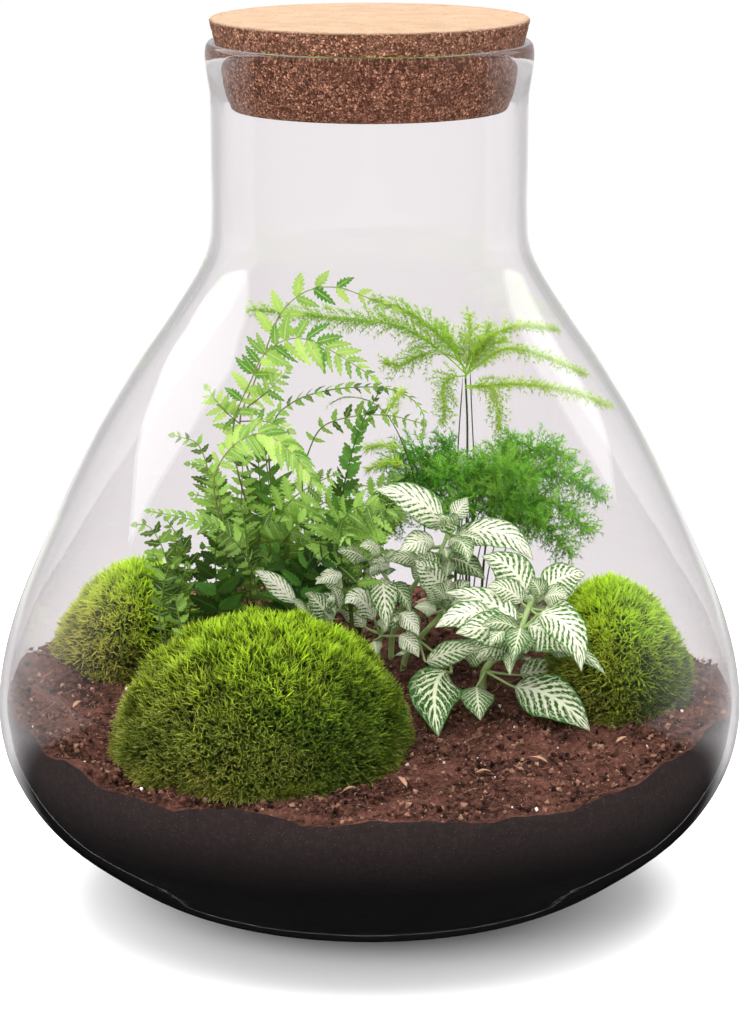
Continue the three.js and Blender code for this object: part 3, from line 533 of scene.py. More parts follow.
def cork_stopper(material):
    bottom = CORK_TOP - CORK_DEPTH
    foot = CORK_RADIUS - CORK_TAPER * CORK_DEPTH
    down = np.linspace(0, 1, 34)
    under = [(r, bottom) for r in np.linspace(0.01, foot - 1, 10)]
    side = [(foot + (CORK_RADIUS - foot) * d, bottom + 0.9 + (CORK_DEPTH - 1.8) * d) for d in down]
    over = [(r, CORK_TOP) for r in np.linspace(CORK_RADIUS - 0.8, 0.01, 24)]
    profile = np.array([*under, *side, *over])
    points = lathe(profile, CORK_COLUMNS)
    top = np.zeros(points.shape[:2])
    top[-len(over) :] = 1
    rough = np.array([noise.noise(Vector(p) * 0.9) for p in points.reshape(-1, 3)]).reshape(top.shape)
    shrink = 1 - np.abs(rough) * (1 - top) * 0.012
    points[:, :, :2] *= shrink[:, :, None]
    points[:, :, 2] -= np.abs(rough) * top * 0.12
    gather = Gather()
    gather.grid(points, wrap=True, beside=top)
    gather.piece("cork_body", material, "cork", "cork_stopper", held=False)


# Soil


def smooth(value, low, high):
    """Goes smoothly from 0 to 1 as the value goes from low to high."""
    t = np.clip((value - low) / (high - low), 0, 1)
    return t * t * (3 - 2 * t)


def ground(x, y):
    """Height of the soil's even surface: higher at the back, in the middle and at the sides."""
    rise = (SOIL_RISE - 4 * x / 130) * smooth(y, -20, 85)
    crown = SOIL_CROWN * (1 - np.minimum(np.hypot(x, y) / 140, 1) ** 2)
    sides = SOIL_SIDES * smooth(np.abs(x), 85, 146) * (1 - smooth(y, 0, 60))
    waves = 1.1 * np.sin(x * 0.11 + 1) * np.cos(y * 0.13) + 0.7 * np.sin(x * 0.05 - y * 0.21)
    return SOIL_FRONT + rise + crown + sides + waves


def relief(points, size, seed=0.0):
    """Noise at each point, from about -1 to 1."""
    return np.array([noise.noise(Vector((x / size, y / size, z / size + seed))) for x, y, z in points])


def clods(points):
    """How far the loose soil stands above its even surface."""
    return 2.4 * relief(points, 11.0) + 2.3 * relief(points, 4.2, 5.0)


BELLY = 149.8
RIM_WAVES = [(1.2, 5), (0.8, 13), (0.4, 29), (0.28, 53), (0.22, 89)]


def soil_rim(turn):
    """Radius and height where the soil's surface meets the glass."""
    height = ground(BELLY * np.cos(turn), BELLY * np.sin(turn))
    for tall, waves in RIM_WAVES:
        height = height + tall * np.sin(waves * turn + tall * 9)
    return np.interp(height, SOIL_LINE[:, 1], SOIL_LINE[:, 0]), height


def soil_wall(circle, height):
    """Rings from the middle of the floor up along the glass to the rim's height."""
    low = SOIL_LINE[0, 1]
    rings = [np.column_stack([circle * 0.01, np.full(len(circle), low)])]
    for share in np.linspace(0, 1, 14):
        z = low + 0.02 + (height - low) * share
        rings.append(np.column_stack([circle * np.interp(z, SOIL_LINE[:, 1], SOIL_LINE[:, 0])[:, None], z]))
    return np.array(rings)


def soil_top(circle, radius, height):
    """Rings of loose soil from the glass to the middle."""
    rings = []
    for share in np.concatenate([[1.0, 0.996], np.linspace(0.985, 0.004, 94)]):
        x, y = (circle * (radius * share)[:, None]).T
        near = np.clip((share - 0.95) / 0.05, 0, 1)
        points = np.column_stack([x, y, ground(x, y) * (1 - near) + height * near])
        points[:, 2] += (1 - near) * (clods(points) + 1.1 * relief(points, 2.1, 9.0))
        rings.append(points)
    return np.array(rings)


def soil_bed(material):
    turn = turns(SOIL_COLUMNS)
    circle = np.column_stack([np.cos(turn), np.sin(turn)])
    radius, height = soil_rim(turn)
    gather = Gather()
    gather.grid(soil_wall(circle, height), wrap=True, beside=1.0)
    gather.grid(soil_top(circle, radius, height), wrap=True, beside=0.0)
    gather.piece("soil_bed", material, "soil", "soil", held=False)


def turned(count, rng):
    """Random rotation matrices."""
    q = unit(rng.normal(size=(count, 4)))
    w, x, y, z = q.T
    rows = [
        [1 - 2 * (y * y + z * z), 2 * (x * y - w * z), 2 * (x * z + w * y)],
        [2 * (x * y + w * z), 1 - 2 * (x * x + z * z), 2 * (y * z - w * x)],
        [2 * (x * z - w * y), 2 * (y * z + w * x), 1 - 2 * (x * x + y * y)],
    ]
    return np.moveaxis(np.array(rows), 2, 0)


def on_soil(count, rng):
    """Random places on the open soil."""
    turn = rng.uniform(0, 2 * pi, count)
    radius, _ = soil_rim(turn)
    far = np.sqrt(rng.uniform(0, 0.985, count)) * radius
    points = np.column_stack([far * np.cos(turn), far * np.sin(turn), np.zeros(count)])
    points[:, 2] = ground(points[:, 0], points[:, 1])
    points[:, 2] += clods(points)
    return points


OCTAHEDRON = np.array([(1, 0, 0), (-1, 0, 0), (0, 1, 0), (0, -1, 0), (0, 0, 1), (0, 0, -1)], float)
OCTA_FACES = np.array([
    (0, 2, 4), (2, 1, 4), (1, 3, 4), (3, 0, 4), (2, 0, 5), (1, 2, 5), (3, 1, 5), (0, 3, 5),
])


def scatter(gather, places, sizes, tones, rng):
    """Angular crumbs of the given sizes."""
    count = len(places)
    shapes = OCTAHEDRON[None] * rng.uniform(0.55, 1.25, (count, 6, 3))
    shapes = np.einsum("nij,nkj->nki", turned(count, rng), shapes)
    points = places[:, None] + shapes * sizes[:, None, None]
    faces = OCTA_FACES[None] + 6 * np.arange(count)[:, None, None]
    gather.add(points, faces.reshape(-1, 3), tone=np.repeat(tones, 6))


# How many of each lie on the soil
CRUMBS, SPECKS, GRAINS, FIBRES, STRAWS = 9500, 420, 46, 3500, 60


def soil_crumbs(material):
    rng = np.random.default_rng(11)
    gather = Gather()
    places = on_soil(CRUMBS, rng)
    sizes = 0.3 + 1.3 * rng.random(CRUMBS) ** 2.5
    places[:, 2] += 0.5 * sizes + 0.3
    scatter(gather, places, sizes, 0.05 + 0.75 * rng.random(CRUMBS) ** 1.2, rng)
    places = on_soil(SPECKS, rng) + [0, 0, 1.2]
    scatter(gather, places, rng.uniform(0.25, 0.6, SPECKS), rng.uniform(0.75, 0.93, SPECKS), rng)
    places = on_soil(GRAINS, rng) + [0, 0, 1.4]
    scatter(gather, places, rng.uniform(0.5, 1.1, GRAINS), np.full(GRAINS, 1.0), rng)
    gather.piece("soil_crumbs", material, "soil", smooth=False)


def fibres(gather, places, lengths, thick, tones, rng, rows=6):
    """Thin curled three-sided fibres that lie on the soil."""
    count = len(places)
    heading = rng.uniform(0, 2 * pi, count)
    bend = rng.normal(0, 0.5, (count, rows)).cumsum(axis=1)
    angle = heading[:, None] + bend
    rise = rng.normal(0.05, 0.22, (count, rows))
    step = lengths[:, None] / rows
    moves = np.stack([np.cos(angle) * step, np.sin(angle) * step, rise * step], axis=2)
    spine = places[:, None] + np.concatenate([np.zeros((count, 1, 3)), moves.cumsum(axis=1)], axis=1)
    corner = np.array([(1, 0, 0), (-0.5, 0.87, 0), (-0.3, -0.4, 0.8)])
    slim = np.linspace(1, 0.5, rows + 1)[None, :, None, None]
    points = spine[:, :, None] + corner[None, None] * thick[:, None, None, None] * slim
    sides = [(0, 1, 4, 3), (1, 2, 5, 4), (2, 0, 3, 5)]
    quads = [[3 * row + corner for corner in side] for row in range(rows) for side in sides]
    size = 3 * (rows + 1)
    faces = np.array(quads)[None] + size * np.arange(count)[:, None, None]
    gather.add(points, faces.reshape(-1, 4), tone=np.repeat(tones, size))


def soil_fibres(material):
    rng = np.random.default_rng(12)
    gather = Gather()
    places = on_soil(FIBRES, rng)
    places[:, 2] += rng.uniform(0.3, 1.8, FIBRES)
    lengths = rng.uniform(2.5, 9.0, FIBRES)
    tones = rng.choice([0.15, 0.4, 0.6, 0.8], FIBRES, p=[0.3, 0.25, 0.27, 0.18])
    fibres(gather, places, lengths, rng.uniform(0.12, 0.26, FIBRES), tones, rng, rows=4)
    places = on_soil(STRAWS, rng) + [0, 0, 1.6]
    lengths, thick, tones = (rng.uniform(*span, STRAWS) for span in ((9, 20), (0.18, 0.3), (0.7, 0.9)))
    fibres(gather, places, lengths, thick, tones, rng)
    gather.piece("soil_fibres", material, "soil")


# Dead leaf bits on the soil: x, y, heading in degrees, length
LITTER = [
    (-118, -28, 60, 7), (14, -112, 110, 10), (-12, -104, 75, 9), (-10, -118, 20, 6), (68, -86, 150, 8),
    (96, -58, 40, 7), (-92, -66, 10, 7), (40, -96, 0, 6), (112, 52, 80, 8), (20, 96, 30, 9),
    (-30, 104, 120, 8),
]


def litter(material):
    gather = Gather()
    for x, y, heading, length in LITTER:
        turn = radians(heading)
        forward = np.array([cos(turn), sin(turn), 0.1])
        across = np.array([-sin(turn), cos(turn), 0.0])
        share = np.linspace(0, 1, 7)
        half = 0.9 * np.sin(pi * share ** 0.8) + 0.15
        rib = np.array([x, y, float(ground(x, y)) + 2.0]) + forward * (share * length)[:, None]
        rib[:, 2] += 1.1 * np.sin(pi * share)
        sides = [rib + across * (half * s)[:, None] + [0, 0, 0.5 * abs(s)] for s in (-1, 0, 1)]
        gather.grid(np.stack(sides, axis=1), tone=0.82)
    gather.piece("leaf_litter", material, "soil")


# Moss cushions: full rounds the top, edge is how yellow the foot is, light how light all of it is, added to
# the painted light that grows toward its top

MOSSES = [
    {"name": "moss_cushion_front", "centre": (-42, -66, 80), "size": (57, 57, 52), "lean": 2, "full": 0.9,
     "shoots": 4400, "edge": 0.9, "light": -0.68},
    {"name": "moss_cushion_left", "centre": (-105, 41, 87), "size": (30, 32, 42), "lean": 10, "full": 1,
     "shoots": 1600, "edge": 2.4, "light": -0.1},
    {"name": "moss_cushion_right", "centre": (103, 0, 82), "size": (30, 38, 49), "lean": -6, "full": 1,
     "shoots": 2300, "edge": 1.1, "light": -0.3},
]
MOSS_BLADES = 8
MOSS_PILE = 3.8


def cushion(moss, turn, level, sunk):
    """Points and normals on a cushion, sunk below its outline by some millimetres."""
    cx, cy, cz = moss["centre"]
    sx, sy, sz = moss["size"]
    tilt = np.arcsin(np.clip(level, -1, 1))
    wide = np.cos(tilt) ** moss["full"]
    lumps = 1 + 0.022 * np.sin(7 * turn + tilt * 6.3) + 0.018 * np.cos(11 * turn - tilt * 11.5)
    up = np.maximum(level, 0)
    points = np.column_stack([
        cx + moss["lean"] * up + sx * wide * lumps * np.cos(turn),
        cy + sy * wide * lumps * np.sin(turn),
        cz + np.where(level > 0, sz, 9) * level * np.where(level > 0, lumps, 1),
    ])
    normals = unit(np.column_stack([
        np.cos(turn) * wide / sx, np.sin(turn) * wide / sy, np.maximum(level, -0.1) / sz,
    ]))
    tufts = relief(points, 6.5, moss["edge"] * 9)
    return points + normals * (tufts * 1.5 - sunk)[:, None], normals


def moss_yellow_and_painted_light(moss, feet, turn, level, rng):
    """How yellow and how light each shoot is: yellow low at the left, and painted light on top that fades to
    painted shade low down.
    """
    rim = np.clip((0.35 - level) / 0.5, 0, 1)
    left = np.clip(-np.cos(turn - 0.6), 0, 1) * np.sqrt(np.clip(1 - level, 0, 1))
    yellow = moss["edge"] * (0.2 * rim + 0.5 * left) + 0.16 * relief(feet, 14.0, 2.0)
    noisy = 0.5 * relief(feet, 5.0, 7.0)
    return yellow, moss["light"] + 1.45 * level + noisy + rng.normal(0, 0.14, len(feet))


def moss_blades(feet, normals, rng):
    """Five points for each blade: two at its root, two in its middle and its tip."""
    size = (len(feet), MOSS_BLADES)
    around = rng.uniform(0, 2 * pi, size)
    splay = rng.uniform(0.15, 1.25, size)[..., None]
    comb = np.column_stack([relief(feet, 9.0, seed) for seed in (3.0, 4.0, 5.0)])
    lean = unit(np.column_stack([normals[:, 0], normals[:, 1], normals[:, 2] * 0.2 + 0.15])) + 1.3 * comb
    spread = fan(normals, (0.3, 0.1, 1.0), around)
    heading = unit(normals[:, None] + spread * splay + 0.35 * lean[:, None])
    length = MOSS_PILE * rng.uniform(0.95, 1.75, size)[..., None]
    flat = unit(np.cross(heading, normals[:, None] + 0.01))
    root = feet[:, None] + spread * rng.uniform(0, 0.55, size)[..., None]
    middle = root + heading * length * 0.55
    tip = middle + unit(heading + spread * 0.5 + np.array([0, 0, 0.12])) * length * 0.5
    half = flat * rng.uniform(0.2, 0.36, size)[..., None]
    return np.stack([root - half * 0.8, root + half * 0.8, middle - half, middle + half, tip], axis=2)


def moss_cushion(moss, material):
    rng = np.random.default_rng(len(moss["name"]) + moss["shoots"])
    count = moss["shoots"]
    order = np.arange(count) + 0.5
    turn, level = order * GOLDEN, 1 - 1.2 * order / count
    feet, normals = cushion(moss, turn, level, MOSS_PILE)
    yellow, shade = moss_yellow_and_painted_light(moss, feet, turn, level, rng)
    points = moss_blades(feet, normals, rng)
    shade = shade[:, None] + rng.normal(0, 0.22, (count, MOSS_BLADES))
    values = {
        "along": np.tile([0.0, 0.0, 0.55, 0.55, 1.0], count * MOSS_BLADES),
        "beside": np.repeat(np.clip(yellow, 0, 1), MOSS_BLADES * 5),
        "tone": np.repeat(np.clip(shade, 0, 1).ravel(), 5),
    }
    index = 5 * np.arange(count * MOSS_BLADES)[:, None]
    gather = Gather()
    gather.add(points, np.array([(0, 1, 3, 2)]) + index, **values)
    gather.faces[3].append(np.array([(2, 3, 4)]) + index)
    # Painted shade: the core under the blades takes the dark colour of the blades' shaded feet
    shaded_core = [cushion(moss, turns(MOSS_COLUMNS), np.full(MOSS_COLUMNS, height), MOSS_PILE + 0.3)[0]
            for height in np.concatenate([[-0.6], np.linspace(-0.2, 0.9995, 26)])]
    gather.grid(np.array(shaded_core), wrap=True, along=0.05, beside=0.3, tone=0.2)
    gather.piece(moss["name"] + "_blades", material, "moss", moss["name"])


# Ferns

FRONT = (0, -1, 0.25)
FERN_STALK = 0.55
LAST_PAIR = 0.985


@dataclass
class Fern:
    """A frond. The leaflets begin at the share leafy of its path, lean forward by lean degrees at its
    start and end, and are longest at the share swell. Light is how fresh they are, fill how closely
    they stand, slim how wide for their length, and echoes turn and shrink the frond for more of them."""

    name: str
    colour: str
    root: tuple
    leafy: float
    pairs: int
    length: float
    lean: tuple
    path: list
    swell: float = 0.3
    light: float = 0.6
    face: tuple = FRONT
    teeth: int = 7
    cut: float = 0.4
    slim: float = 0.5
    fill: float = 1.15
    droop: float = 0.12
    closer: float = 0.85
    sides: tuple = (1, 1)
    sprigs: tuple = ()
    echoes: tuple = ()


def trail(text):
    """Points from a text: numbers with spaces between them, points with commas."""
    return [tuple(float(number) for number in point.split()) for point in text.split(",")]


def trails(text):
    return [trail(line) for line in text.strip().splitlines()]


def rooted(root, path):
    """A path that begins in the stem's hole in the soil."""
    x, y = root
    level = float(ground(x, y))
    return [(x, y, level - HOLE_DEPTH + 1), (x, y, level + 1), *path]


def leaflet_outline(share, teeth, cut):
    """Half widths of a leaflet, and how far its lobes lean forward, at shares of its length."""
    body = np.sin(pi * np.clip(share, 0, 1) ** 0.62) ** 0.75 * (1 - 0.25 * share)
    lobe = (share * teeth + 1e-6) % 1.0
    rounded = 1 - cut * (1 - np.sin(pi * lobe ** 1.3) ** 0.9)
    return body * rounded, 0.5 * body * rounded


def leaflet(gather, foot, away, beside, out, reach, wide, fern, rng, tone):
    """One lobed leaflet, folded a little along its rib."""
    teeth = max(int(fern.teeth * min(reach / 10, 1) + 0.5), 3)
    share = np.linspace(0.0, 1.0, 4 * teeth + 1)
    half, forward = leaflet_outline(share, teeth, fern.cut)
    curl = rng.uniform(-0.05, 0.22)
    rib = foot + away * (share * reach)[:, None]
    rib[:, 2] -= fern.droop * reach * share * share
    rib += out * (curl * reach * share * (1 - share))[:, None]
    rise = rng.uniform(0.05, 0.35)
    rows = []
    for side in (-1, 0, 1):
        edge = rib + beside * (half * wide / 2 * side)[:, None]
        edge += away * (forward * wide * 0.35 * abs(side))[:, None]
        edge += out * (half * wide / 2 * rise * abs(side))[:, None]
        rows.append(edge)
    across = np.tile([-1.0, 0.0, 1.0], len(share))
    gather.grid(np.stack(rows, axis=1), along=np.repeat(share, 3), beside=across, tone=tone)


def leaflet_size(share, swell):
    if share < swell:
        return 0.6 + 0.4 * share / swell
    return 1 - 0.75 * ((share - swell) / (1 - swell)) ** 1.5


def echoed(fern, turn, grown):
    """The same frond again from the same root, turned about it by some degrees and grown less or more."""
    x, y = fern.root
    level = float(ground(x, y))
    c, s = cos(radians(turn)) * grown, sin(radians(turn)) * grown
    path = [(x + c * (px - x) - s * (py - y), y + s * (px - x) + c * (py - y), level + (pz - level) * grown)
            for px, py, pz in fern.path]
    light = fern.light + 0.3 * sin(radians(3 * turn))
    return replace(fern, path=path, length=fern.length * grown, light=light)


def frond(fern, material):
    rng = np.random.default_rng(sum(map(ord, fern.name)))
    gather = Gather()
    grow_frond(gather, fern, rng)
    for turn, grown in fern.echoes:
        grow_frond(gather, echoed(fern, turn, grown), rng)
    for path in fern.sprigs:
        tube(gather, Line(path), 0.3, rows=12, taper=0.5)
        sprig = replace(fern, leafy=0.12, pairs=int(Line(path).length / 3.6), length=8, swell=0.3)
        grow_leaflets(gather, sprig, Line(path), rng)
    gather.piece(fern.name + "_leaves", material, "fern_" + fern.colour, fern.name)


def grow_frond(gather, fern, rng):
    line = Line(rooted(fern.root, fern.path))
    tube(gather, line, FERN_STALK, rows=60, taper=0.6)
    grow_leaflets(gather, fern, line, rng)


def grow_leaflets(gather, fern, line, rng):
    leafy, pairs, swell = fern.leafy, fern.pairs, fern.swell
    face = np.array(fern.face, float)
    gap = (LAST_PAIR - leafy) * line.length / pairs
    for i in range(pairs):
        share = (i + 0.5) / pairs
        at, along, out, across = line.frame(leafy + (LAST_PAIR - leafy) * share ** fern.closer, face)
        for side in (1, -1):
            reach = fern.length * leaflet_size(share, swell) * rng.uniform(0.8, 1.1)
            reach *= fern.sides[0 if side < 0 else 1]
            tilt = radians(np.interp(share, (0, 1), fern.lean) + rng.uniform(-6, 8))
            away = across * side * cos(tilt) + along * sin(tilt)
            roll = rng.normal(0, 0.32)
            beside = (along * cos(tilt) - across * side * sin(tilt)) * cos(roll) + out * sin(roll)
            normal = np.cross(away, beside) * side
            normal = unit(normal if normal @ out > 0 else -normal)
            wide = min(gap * fern.fill, reach * fern.slim)
            tone = np.clip(fern.light + rng.normal(0, 0.36), 0, 1)
            foot = at + along * rng.uniform(-0.1, 0.1) * gap * side
            leaflet(gather, foot, away, beside, normal, reach, wide, fern, rng, tone)
    at, along, out, across = line.frame(LAST_PAIR, face)
    leaflet(gather, at, along, across, out, max(fern.length * 0.35, 3), 3, fern, rng, 0.6)


FERNS = [
    Fern("fern_frond_topmost", "lime", (-20, 48), 0.42, 13, 14, (22, 55), swell=0.5, light=0.65, teeth=6,
         cut=0.48, fill=1.4, closer=1.0, sides=(0.95, 1),
         path=trail("-36 50 125, -54 50 184, -48 48 202, -42 46 219, -36 43 233, -25 40 242, -12 38 243, "
                    "1 35 239, 12 32 235")),
    Fern("fern_frond_arching", "lime", (-26, 31), 0.5, 18, 14, (8, 58), swell=0.6, teeth=6, cut=0.48,
         fill=1.4,
         sprigs=[trail("-50 29 196, -41 24 204, -33 20 213"),
                 trail("-53 30 190, -42 24 191, -32 20 188"),
                 trail("-52 30 188, -60 27 196, -66 25 205")],
         path=trail("-42 31 130, -56 30 185, -48 28 208, -43 26 218, -34 22 225, -24 16 226, -11 10 220, "
                    "3 4 212")),
    Fern("fern_frond_hooked", "leaf", (-19, 38), 0.5, 22, 7, (35, 47), swell=0.05, face=(0, -0.5, 1),
         teeth=4, fill=1.0,
         path=trail("-30 39 120, -41 38 165, -39 38 189, -31 36 197, -18 33 202, 5 29 204, 16 26 201, "
                    "22 24 194, 21 22 184")),
    Fern("fern_frond_slender", "leaf", (-20, 60), 0.62, 10, 8, (25, 37), light=0.7, teeth=4,
         path=trail("-26 58 125, -28 56 161, -26 56 170, -20 55 182, -8 53 187, 8 51 188, 23 48 185")),
    Fern("fern_frond_upright", "dark", (-14, 22), 0.42, 19, 9, (48, 60), swell=0.2, light=0.8, teeth=5,
         slim=0.6, fill=1.6,
         path=trail("-15 22 130, -13 22 151, -10 20 167, -5 16 187, -1 13 197, 5 10 208")),
    Fern("fern_frond_bright", "lime", (-42, 15), 0.62, 19, 13.5, (42, 54), swell=0.25,
         face=(0.1, -0.75, 0.65), fill=1.5, droop=0.3,
         path=trail("-55 14 125, -61 12 155, -63 10 169, -61 8 176, -55 4 185, -43 -4 192, -31 -12 186, "
                    "-20 -20 174")),
    Fern("fern_frond_curled", "leaf", (-47, 26), 0.45, 14, 10, (28, 40), light=0.55, teeth=5,
         echoes=[(-25, 0.85), (35, 0.92), (-70, 0.9), (75, 0.8), (8, 0.76)],
         path=trail("-58 25 120, -62 24 142, -64 25 156, -66 26 170, -68 27 177, -71 27 182, -81 28 185")),
    Fern("fern_frond_back", "dark", (-36, 44), 0.5, 7, 17, (28, 40), light=1.0, cut=0.2, slim=0.36,
         echoes=[(60, 0.9), (-50, 1.02)],
         path=trail("-41 46 120, -43 46 134, -44 45 147, -45 44 158, -46 43 171")),
    Fern("fern_frond_broad_dark", "dark", (-60, 8), 0.2, 9, 15, (30, 50), swell=0.15, light=0.15,
         face=(0, -1, 0.45), cut=0.3, slim=0.65, fill=1.4, echoes=[(70, 0.8), (-60, 0.85), (150, 0.7)],
         path=trail("-61 6 104, -61 3 117, -62 2 131, -62 0 143, -60 -2 154")),
    Fern("fern_frond_long_low", "leaf", (-38, 4), 0.5, 16, 9, (35, 47), swell=0.2, light=0.55,
         face=(0.1, -0.7, 0.7), teeth=4, fill=1.2,
         path=trail("-42 6 112, -46 5 127, -49 -1 139, -54 -7 149, -62 -12 156, -76 -16 161, -88 -19 164")),
    Fern("fern_frond_pale_middle", "leaf", (-31, 40), 0.45, 9, 18, (35, 47), light=0.8,
         face=(0.2, -0.9, 0.5), cut=0.65, droop=0.3, echoes=[(30, 0.9), (-35, 0.82), (80, 0.7)],
         path=trail("-37 37 118, -40 35 137, -38 31 149, -31 26 159, -23 19 166, -14 12 172")),
    Fern("fern_frond_pale_right", "leaf", (-7, 14), 0.4, 9, 18, (30, 42), swell=0.35,
         face=(-0.1, -0.9, 0.5), cut=0.65, droop=0.25, echoes=[(40, 0.95), (-40, 0.85), (120, 0.8)],
         path=trail("-8 15 118, -12 15 133, -13 12 147, -8 5 158, -1 -1 162, 8 -7 161")),
    Fern("fern_frond_low_left", "leaf", (-40, 30), 0.4, 8, 15, (30, 42), light=0.4, face=(0, -0.8, 0.6),
         droop=0.2, echoes=[(50, 1.0), (-45, 0.8), (140, 0.8), (95, 0.85)],
         path=trail("-43 27 115, -44 24 129, -46 20 141, -44 14 149, -35 8 154")),
    Fern("fern_frond_low_dark", "dark", (-27, 16), 0.35, 9, 15, (28, 40), light=0.45, face=(0, -0.8, 0.6),
         droop=0.2, echoes=[(60, 0.95), (-50, 0.8), (150, 0.75), (100, 1.0), (-100, 0.9)],
         path=trail("-30 16 108, -32 15 120, -33 13 131, -36 8 139, -42 2 144")),
    Fern("fern_frond_pale_back", "leaf", (-4, 42), 0.45, 9, 17, (35, 47), swell=0.35, face=(0, -0.9, 0.5),
         cut=0.6, droop=0.25, echoes=[(45, 0.9), (-60, 0.85)],
         path=trail("-6 38 116, -7 36 130, -6 34 146, 1 30 159, 11 26 167")),
    Fern("small_leaved_stalk_left", "leaf", (-80, -2), 0.5, 7, 9, (30, 42), swell=0.5, light=0.25, teeth=3,
         slim=0.62, fill=1.2, echoes=[(40, 0.85), (-40, 0.75), (90, 0.8), (-90, 0.65)],
         path=trail("-80 1 100, -80 4 126, -82 2 139, -85 0 148, -89 -2 154, -94 -4 155")),
    Fern("small_leaved_stalk_right", "leaf", (-75, 5), 0.48, 7, 9, (30, 42), swell=0.5, light=0.25, teeth=3,
         slim=0.62, fill=1.2, echoes=[(60, 0.9), (-50, 0.9), (120, 0.75)],
         path=trail("-75 7 100, -75 8 120, -75 8 131, -75 8 141, -78 7 148, -82 6 155")),
]


# Nerve plants: name, root, radius and line of the stem, then one leaf a line, with the foot of its stalk,
# its base, middle and tip, its width and how white it is

NERVE_FACE = (0, -0.8, 0.6)
LONE = "nerve_plant_low"
NERVE_PLANTS = [
    ("nerve_plant_upper", (9, 36), 1.2,
     "10 35 100, 16 30 117, 22 22 128, 28 17 137, 31 16 144, 33 17 152", """
    32 16 149, 30 15 151, 20 8 166, 2 2 168, 14 0.9
    33 17 151, 34 17 153, 37 18 157, 40 18 161, 8 0.9
    31 16 145, 38 15 147, 56 8 154, 66 0 139, 12 0.9
    29 16 141, 26 13 142, 21 8 148, 12 2 142, 11 0.9
    25 19 133, 21 14 135, 14 9 141, 6 5 137, 7 0.6
    26 18 128, 28 12 128, 25 9 138, 19 6 140, 10 0.35
    29 16 139, 33 20 135, 40 16 136, 47 12 128, 10 0.1
    31 17 147, 36 14 146, 42 11 148, 48 8 143, 9 0.4
    """),
    ("nerve_plant_middle", (14, 25), 1.3,
     "16 22 95, 22 17 104, 28 12 112, 31 9 118", """
    31 9 117, 30 7 124, 26 5 133, 18 6 138, 12 0.7
    31 9 117, 33 9 120, 37 10 127, 41 12 127, 8 0.5
    31 9 117, 29 8 119, 26 6 125, 22 4 127, 7 0.7
    31 9 118, 31 8 120, 31 6 126, 33 5 130, 7 0.6
    30 10 116, 27 6 116, 24 4 120, 18 2 119, 7 0.6
    20 18 101, 23 2 96, 34 -3 104, 45 -6 104, 10 0.5
    """),
    ("nerve_plant_left", (3, 18), 1.1,
     "4 17 100, 8 15 115, 8 13 126, 4 12 133, 2 11 138", """
    8 13 126, 5 10 129, 6 3 127, 7 -1 110, 11 0.5
    2 11 137, 4 6 140, 2 0 147, -4 -5 146, 8 0.6
    2 11 137, -2 7 138, -7 2 144, -13 -1 143, 9 0.4
    4 17 104, 2 9 112, -4 2 128, -10 -4 122, 11 0.8
    8 15 114, 12 7 115, 17 4 114, 20 2 107, 8 0.9
    5 17 103, 12 6 106, 17 4 105, 20 2 98, 8 0.8
    4 12 132, 8 9 134, 4 6 139, 0 4 133, 8 0.7
    """),
    ("nerve_plant_moss_edge", (-14, 3), 0.9,
     "-15 3 98, -17 4 110, -19 4 117", """
    -19 4 115, -30 2 121, -39 0 132, -46 -5 136, 8 0.95
    -18 4 113, -12 5 118, -13 3 125, -15 2 128, 6 0.4
    -19 4 115, -20 1 119, -22 -1 125, -26 -3 126, 6 0.5
    -17 4 110, -11 6 126, -16 4 132, -22 1 131, 7 0.8
    -18 4 115, -11 5 131, -16 3 134, -22 0 129, 7 0.8
    -18 4 112, -15 1 114, -20 -2 122, -25 -4 127, 10 0.25
    """),
    ("nerve_plant_right", (46, 3), 1.6,
     "46 1 88, 47 -4 95, 54 -12 105, 60 -19 115, 64 -14 124, 67 -10 128", """
    60 -19 115, 58 -20 118, 48 -14 130, 30 -9 128, 12 0.8
    60 -19 115, 67 -24 123, 82 -38 127, 83 -44 105, 14 0.7
    60 -19 114, 63 -23 118, 72 -29 119, 79 -32 109, 17 0.5
    60 -19 114, 58 -23 115, 48 -28 121, 34 -31 117, 15 0.7
    58 -17 110, 56 -19 108, 51 -22 108, 45 -24 104, 8 0.6
    57 -15 108, 72 -22 107, 78 -27 110, 82 -31 109, 6 0.4
    64 -14 123, 63 -9 128, 58 -5 141, 45 -1 141, 15 0.6
    66 -11 127, 70 -8 129, 78 -5 136, 87 -3 134, 14 0.7
    66 -11 127, 68 -14 128, 68 -16 132, 64 -17 136, 9 0.2
    47 -4 94, 58 -20 92, 74 -34 96, 87 -42 80, 18 0.45
    60 -19 114, 50 -18 119, 38 -24 127, 26 -26 118, 12 0.95
    59 -18 112, 57 -22 111, 50 -26 113, 42 -29 106, 10 0.6
    58 -16 109, 72 -26 112, 84 -34 113, 93 -38 102, 7 0.3
    62 -16 120, 57 -12 122, 50 -8 126, 42 -6 124, 11 0.5
    64 -14 123, 70 -14 122, 78 -16 124, 84 -18 116, 11 0.8
    """),
    ("nerve_plant_low", (30, 16), 0.9,
     "31 12 92, 33 2 94, 33 -4 93", """
    33 -3 93, 31 -8 95, 23 -26 98, 27 -53 81, 20 0.06
    31 8 93, 38 4 98, 44 0 103, 52 -2 100, 11 0.4
    """),
]


